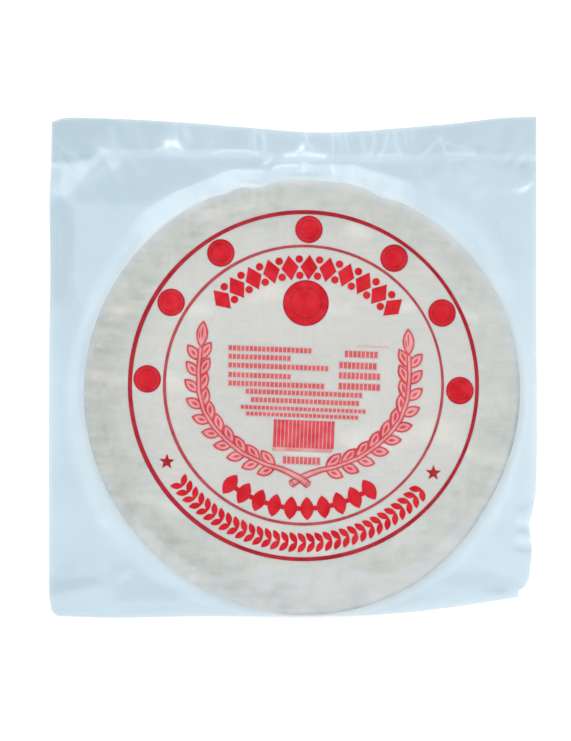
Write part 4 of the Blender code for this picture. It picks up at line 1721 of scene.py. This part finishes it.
def set_grains(tree, points, facing, grain, lean, raised):
    """Copies of a grain on points, each leaning away from the stalk and a hair above the last."""
    leaning = tree_node(tree, "FunctionNodeEulerToRotation", {"Euler": vector_of(tree, Z=lean)})
    turned = tree_node(tree, "FunctionNodeRotateRotation", {
        "Rotation": facing, "Rotate By": leaning.outputs[0],
    }, rotation_space="LOCAL")
    shape = tree_node(tree, "GeometryNodeObjectInfo", {"Object": grain}).outputs["Geometry"]
    order = tree_node(tree, "GeometryNodeInputIndex").outputs["Index"]
    height = tree_math(tree, "MULTIPLY_ADD", order, HAIR, raised)
    return tree_node(tree, "GeometryNodeTranslateInstances", {
        "Instances": copies_on(tree, points, shape, Rotation=turned.outputs["Rotation"]),
        "Translation": vector_of(tree, Z=height), "Local Space": False,
    }).outputs["Instances"]


def stalk_lines(tree, chosen, stalk, tangent, line_places, filled):
    """A line beside the stalk's path at each of the given shares of its width."""
    path = tree_node(tree, "GeometryNodeResampleCurve", {"Curve": stalk, "Count": STALK_POINTS})
    beside = vector_math(tree, "CROSS_PRODUCT", {0: tangent, 1: (0.0, 0.0, 1.0)})
    pen = tree_node(tree, "GeometryNodeCurvePrimitiveQuadrilateral", {
        "Width": chosen["Line"], "Height": chosen["Ink"],
    })
    flare = tree_node(tree, "ShaderNodeMapRange", {
        "Value": tree_node(tree, "GeometryNodeSplineParameter").outputs["Factor"],
        "From Max": FLARE_ENDS, "To Min": FLARE, "To Max": 1.0,
    }).outputs["Result"]
    for share in line_places:
        away = tree_math(tree, "MULTIPLY", tree_math(tree, "MULTIPLY", chosen["Stalk Width"], share), flare)
        shift = vector_math(tree, "ADD", {
            0: vector_math(tree, "SCALE", {0: beside, "Scale": away}),
            1: vector_of(tree, Z=chosen["Stalk Lift"]),
        })
        line = tree_node(tree, "GeometryNodeSetPosition", {
            "Geometry": path.outputs["Curve"], "Offset": shift,
        })
        if filled:
            line = tree_node(tree, "GeometryNodeSetCurveRadius", {"Curve": line.outputs[0], "Radius": flare})
        yield tree_node(tree, "GeometryNodeCurveToMesh", {
            "Curve": line.outputs[0], "Profile Curve": pen.outputs["Curve"], "Fill Caps": True,
        }).outputs["Mesh"]


# %% Trees for the lines and the tint of an ear
def ear_tree(name, line_places, filled):
    """A tree for an ear. A filled stalk is one broad line that flares too."""
    tree, chosen = start_tree(name, {
        "Grains": ("Int", 10), "Outer Lean": ("Float", 0.68), "Inner Lean": ("Float", -0.52),
        "Outer Side": ("Float", 1.0), "Stalk Width": ("Float", 0.0019), "Line": ("Float", 0.0005),
        "Ink": ("Float", 0.00003), "Stalk Lift": ("Float", 0.0), "Outer Grain": ("Object", None),
        "Inner Grain": ("Object", None), "Tip Grain": ("Object", None), "Stalk End": ("Object", None),
        "Material": ("Material", None),
    })
    stalk = tree_node(tree, "GeometryNodeMeshToCurve", {"Mesh": chosen["Geometry"]}).outputs["Curve"]
    tangent = tree_node(tree, "GeometryNodeInputTangent").outputs["Tangent"]
    drawn = [*stalk_lines(tree, chosen, stalk, tangent, line_places, filled)]

    grown = tree_node(
        tree, "GeometryNodeTrimCurve", {"Curve": stalk, "Start": FIRST_PAIR, "End": LAST_PAIR},
        mode="FACTOR",
    )
    beads = tree_node(tree, "GeometryNodeResampleCurve", {
        "Curve": grown.outputs["Curve"], "Count": chosen["Grains"],
    }).outputs["Curve"]
    along = face_along(tree, tangent)
    for side, raised in (("Outer", 0.0), ("Inner", HAIR / 2.0)):
        lean = tree_math(tree, "MULTIPLY", chosen[side + " Lean"], chosen["Outer Side"])
        drawn.append(set_grains(tree, beads, along, chosen[side + " Grain"], lean, raised))
    ends = (("Tip Grain", 1.0, 0.0, TIP_LIFT), ("Stalk End", 0.0, math.pi, chosen["Stalk Lift"]))
    for grain, factor, lean, raised in ends:
        end = tree_node(tree, "GeometryNodeSampleCurve", {"Curves": stalk, "Factor": factor}).outputs
        point = tree_node(tree, "GeometryNodePoints", {"Count": 1, "Position": end["Position"]})
        facing = face_along(tree, end["Tangent"])
        drawn.append(set_grains(tree, point.outputs["Points"], facing, chosen[grain], lean, raised))

    drawing = tree_node(tree, "GeometryNodeJoinGeometry")
    for part in drawn:
        tree.links.new(part, drawing.inputs["Geometry"])
    finish_tree(tree, chosen, drawing.outputs["Geometry"])
    return tree


line_tree = ear_tree("ear_in_lines", (0.5, -0.5), False)
tint_tree = ear_tree("ear_in_tint", (0.0,), True)

# %% [markdown]
# ## Growing both ears
# The stalk is a line of points, and the right ear mirrors the left one. A stalk lies on its own
# grains, and the left stalk lies on the right one where they cross.

# %% Grow both ears
# The stalk from its lower end to its tip, in print coordinates, for the ear on the left.
STALK = (
    (4.1, -49.4), (0.0, -46.5), (-4.8, -44.1), (-10.0, -42.0), (-17.5, -40.2), (-29.5, -35.0),
    (-37.7, -28.8), (-44.3, -22.3), (-49.4, -14.9), (-52.4, -5.0), (-53.0, 6.8), (-52.3, 16.9),
)
TINT_LINE, STALK_LINE = 2.0, 0.65


def path_mesh(name, points):
    """A line of joined edges, for a tree to turn into a curve."""
    mesh = bpy.data.meshes.new(name)
    edges = [(index, index + 1) for index in range(len(points) - 1)]
    mesh.from_pydata([(x * MM, y * MM, 0.0) for x, y in points], edges, [])
    return mesh


for side, mirror, layers in (("left", 1.0, 4), ("right", -1.0, 2)):
    stalk = path_mesh(side + "_stalk", [(x * mirror, y) for x, y in STALK])
    common = {"Outer Side": mirror, "Stalk Lift": layers * LAYER_STEP * MM}
    lay_ink(run_tree(side + "_ear_tint", stalk, tint_tree, {
        **tint_grains, **common, "Line": TINT_LINE * MM, "Material": pale_red_ink,
    }))
    lay_ink(run_tree(side + "_rice_ear", stalk, line_tree, {
        **line_grains, **common, "Line": STALK_LINE * MM, "Material": soft_red_ink,
    }), 1)
for grain in (*line_grains.values(), *tint_grains.values()):
    bpy.data.objects.remove(grain)

# %% [markdown]
# ## Hand the pieces over
# The bag doesn't open and nothing in it moves, so every piece rides on the one body. The film
# stands for the imported solid, which is then hidden.

# %% Ride and replace
SLOTS = {"bag_film": "bag_film", "paper_stack": "rice_paper", "top_paper": "rice_paper"}
for piece in [o for o in bpy.context.scene.objects if o.type == "MESH"]:
    if piece.name == "studio_floor" or "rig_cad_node" in piece:
        continue
    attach(piece, "root")
    SLOTS.get(piece.name, "red_print")
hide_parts("sealed_bag")
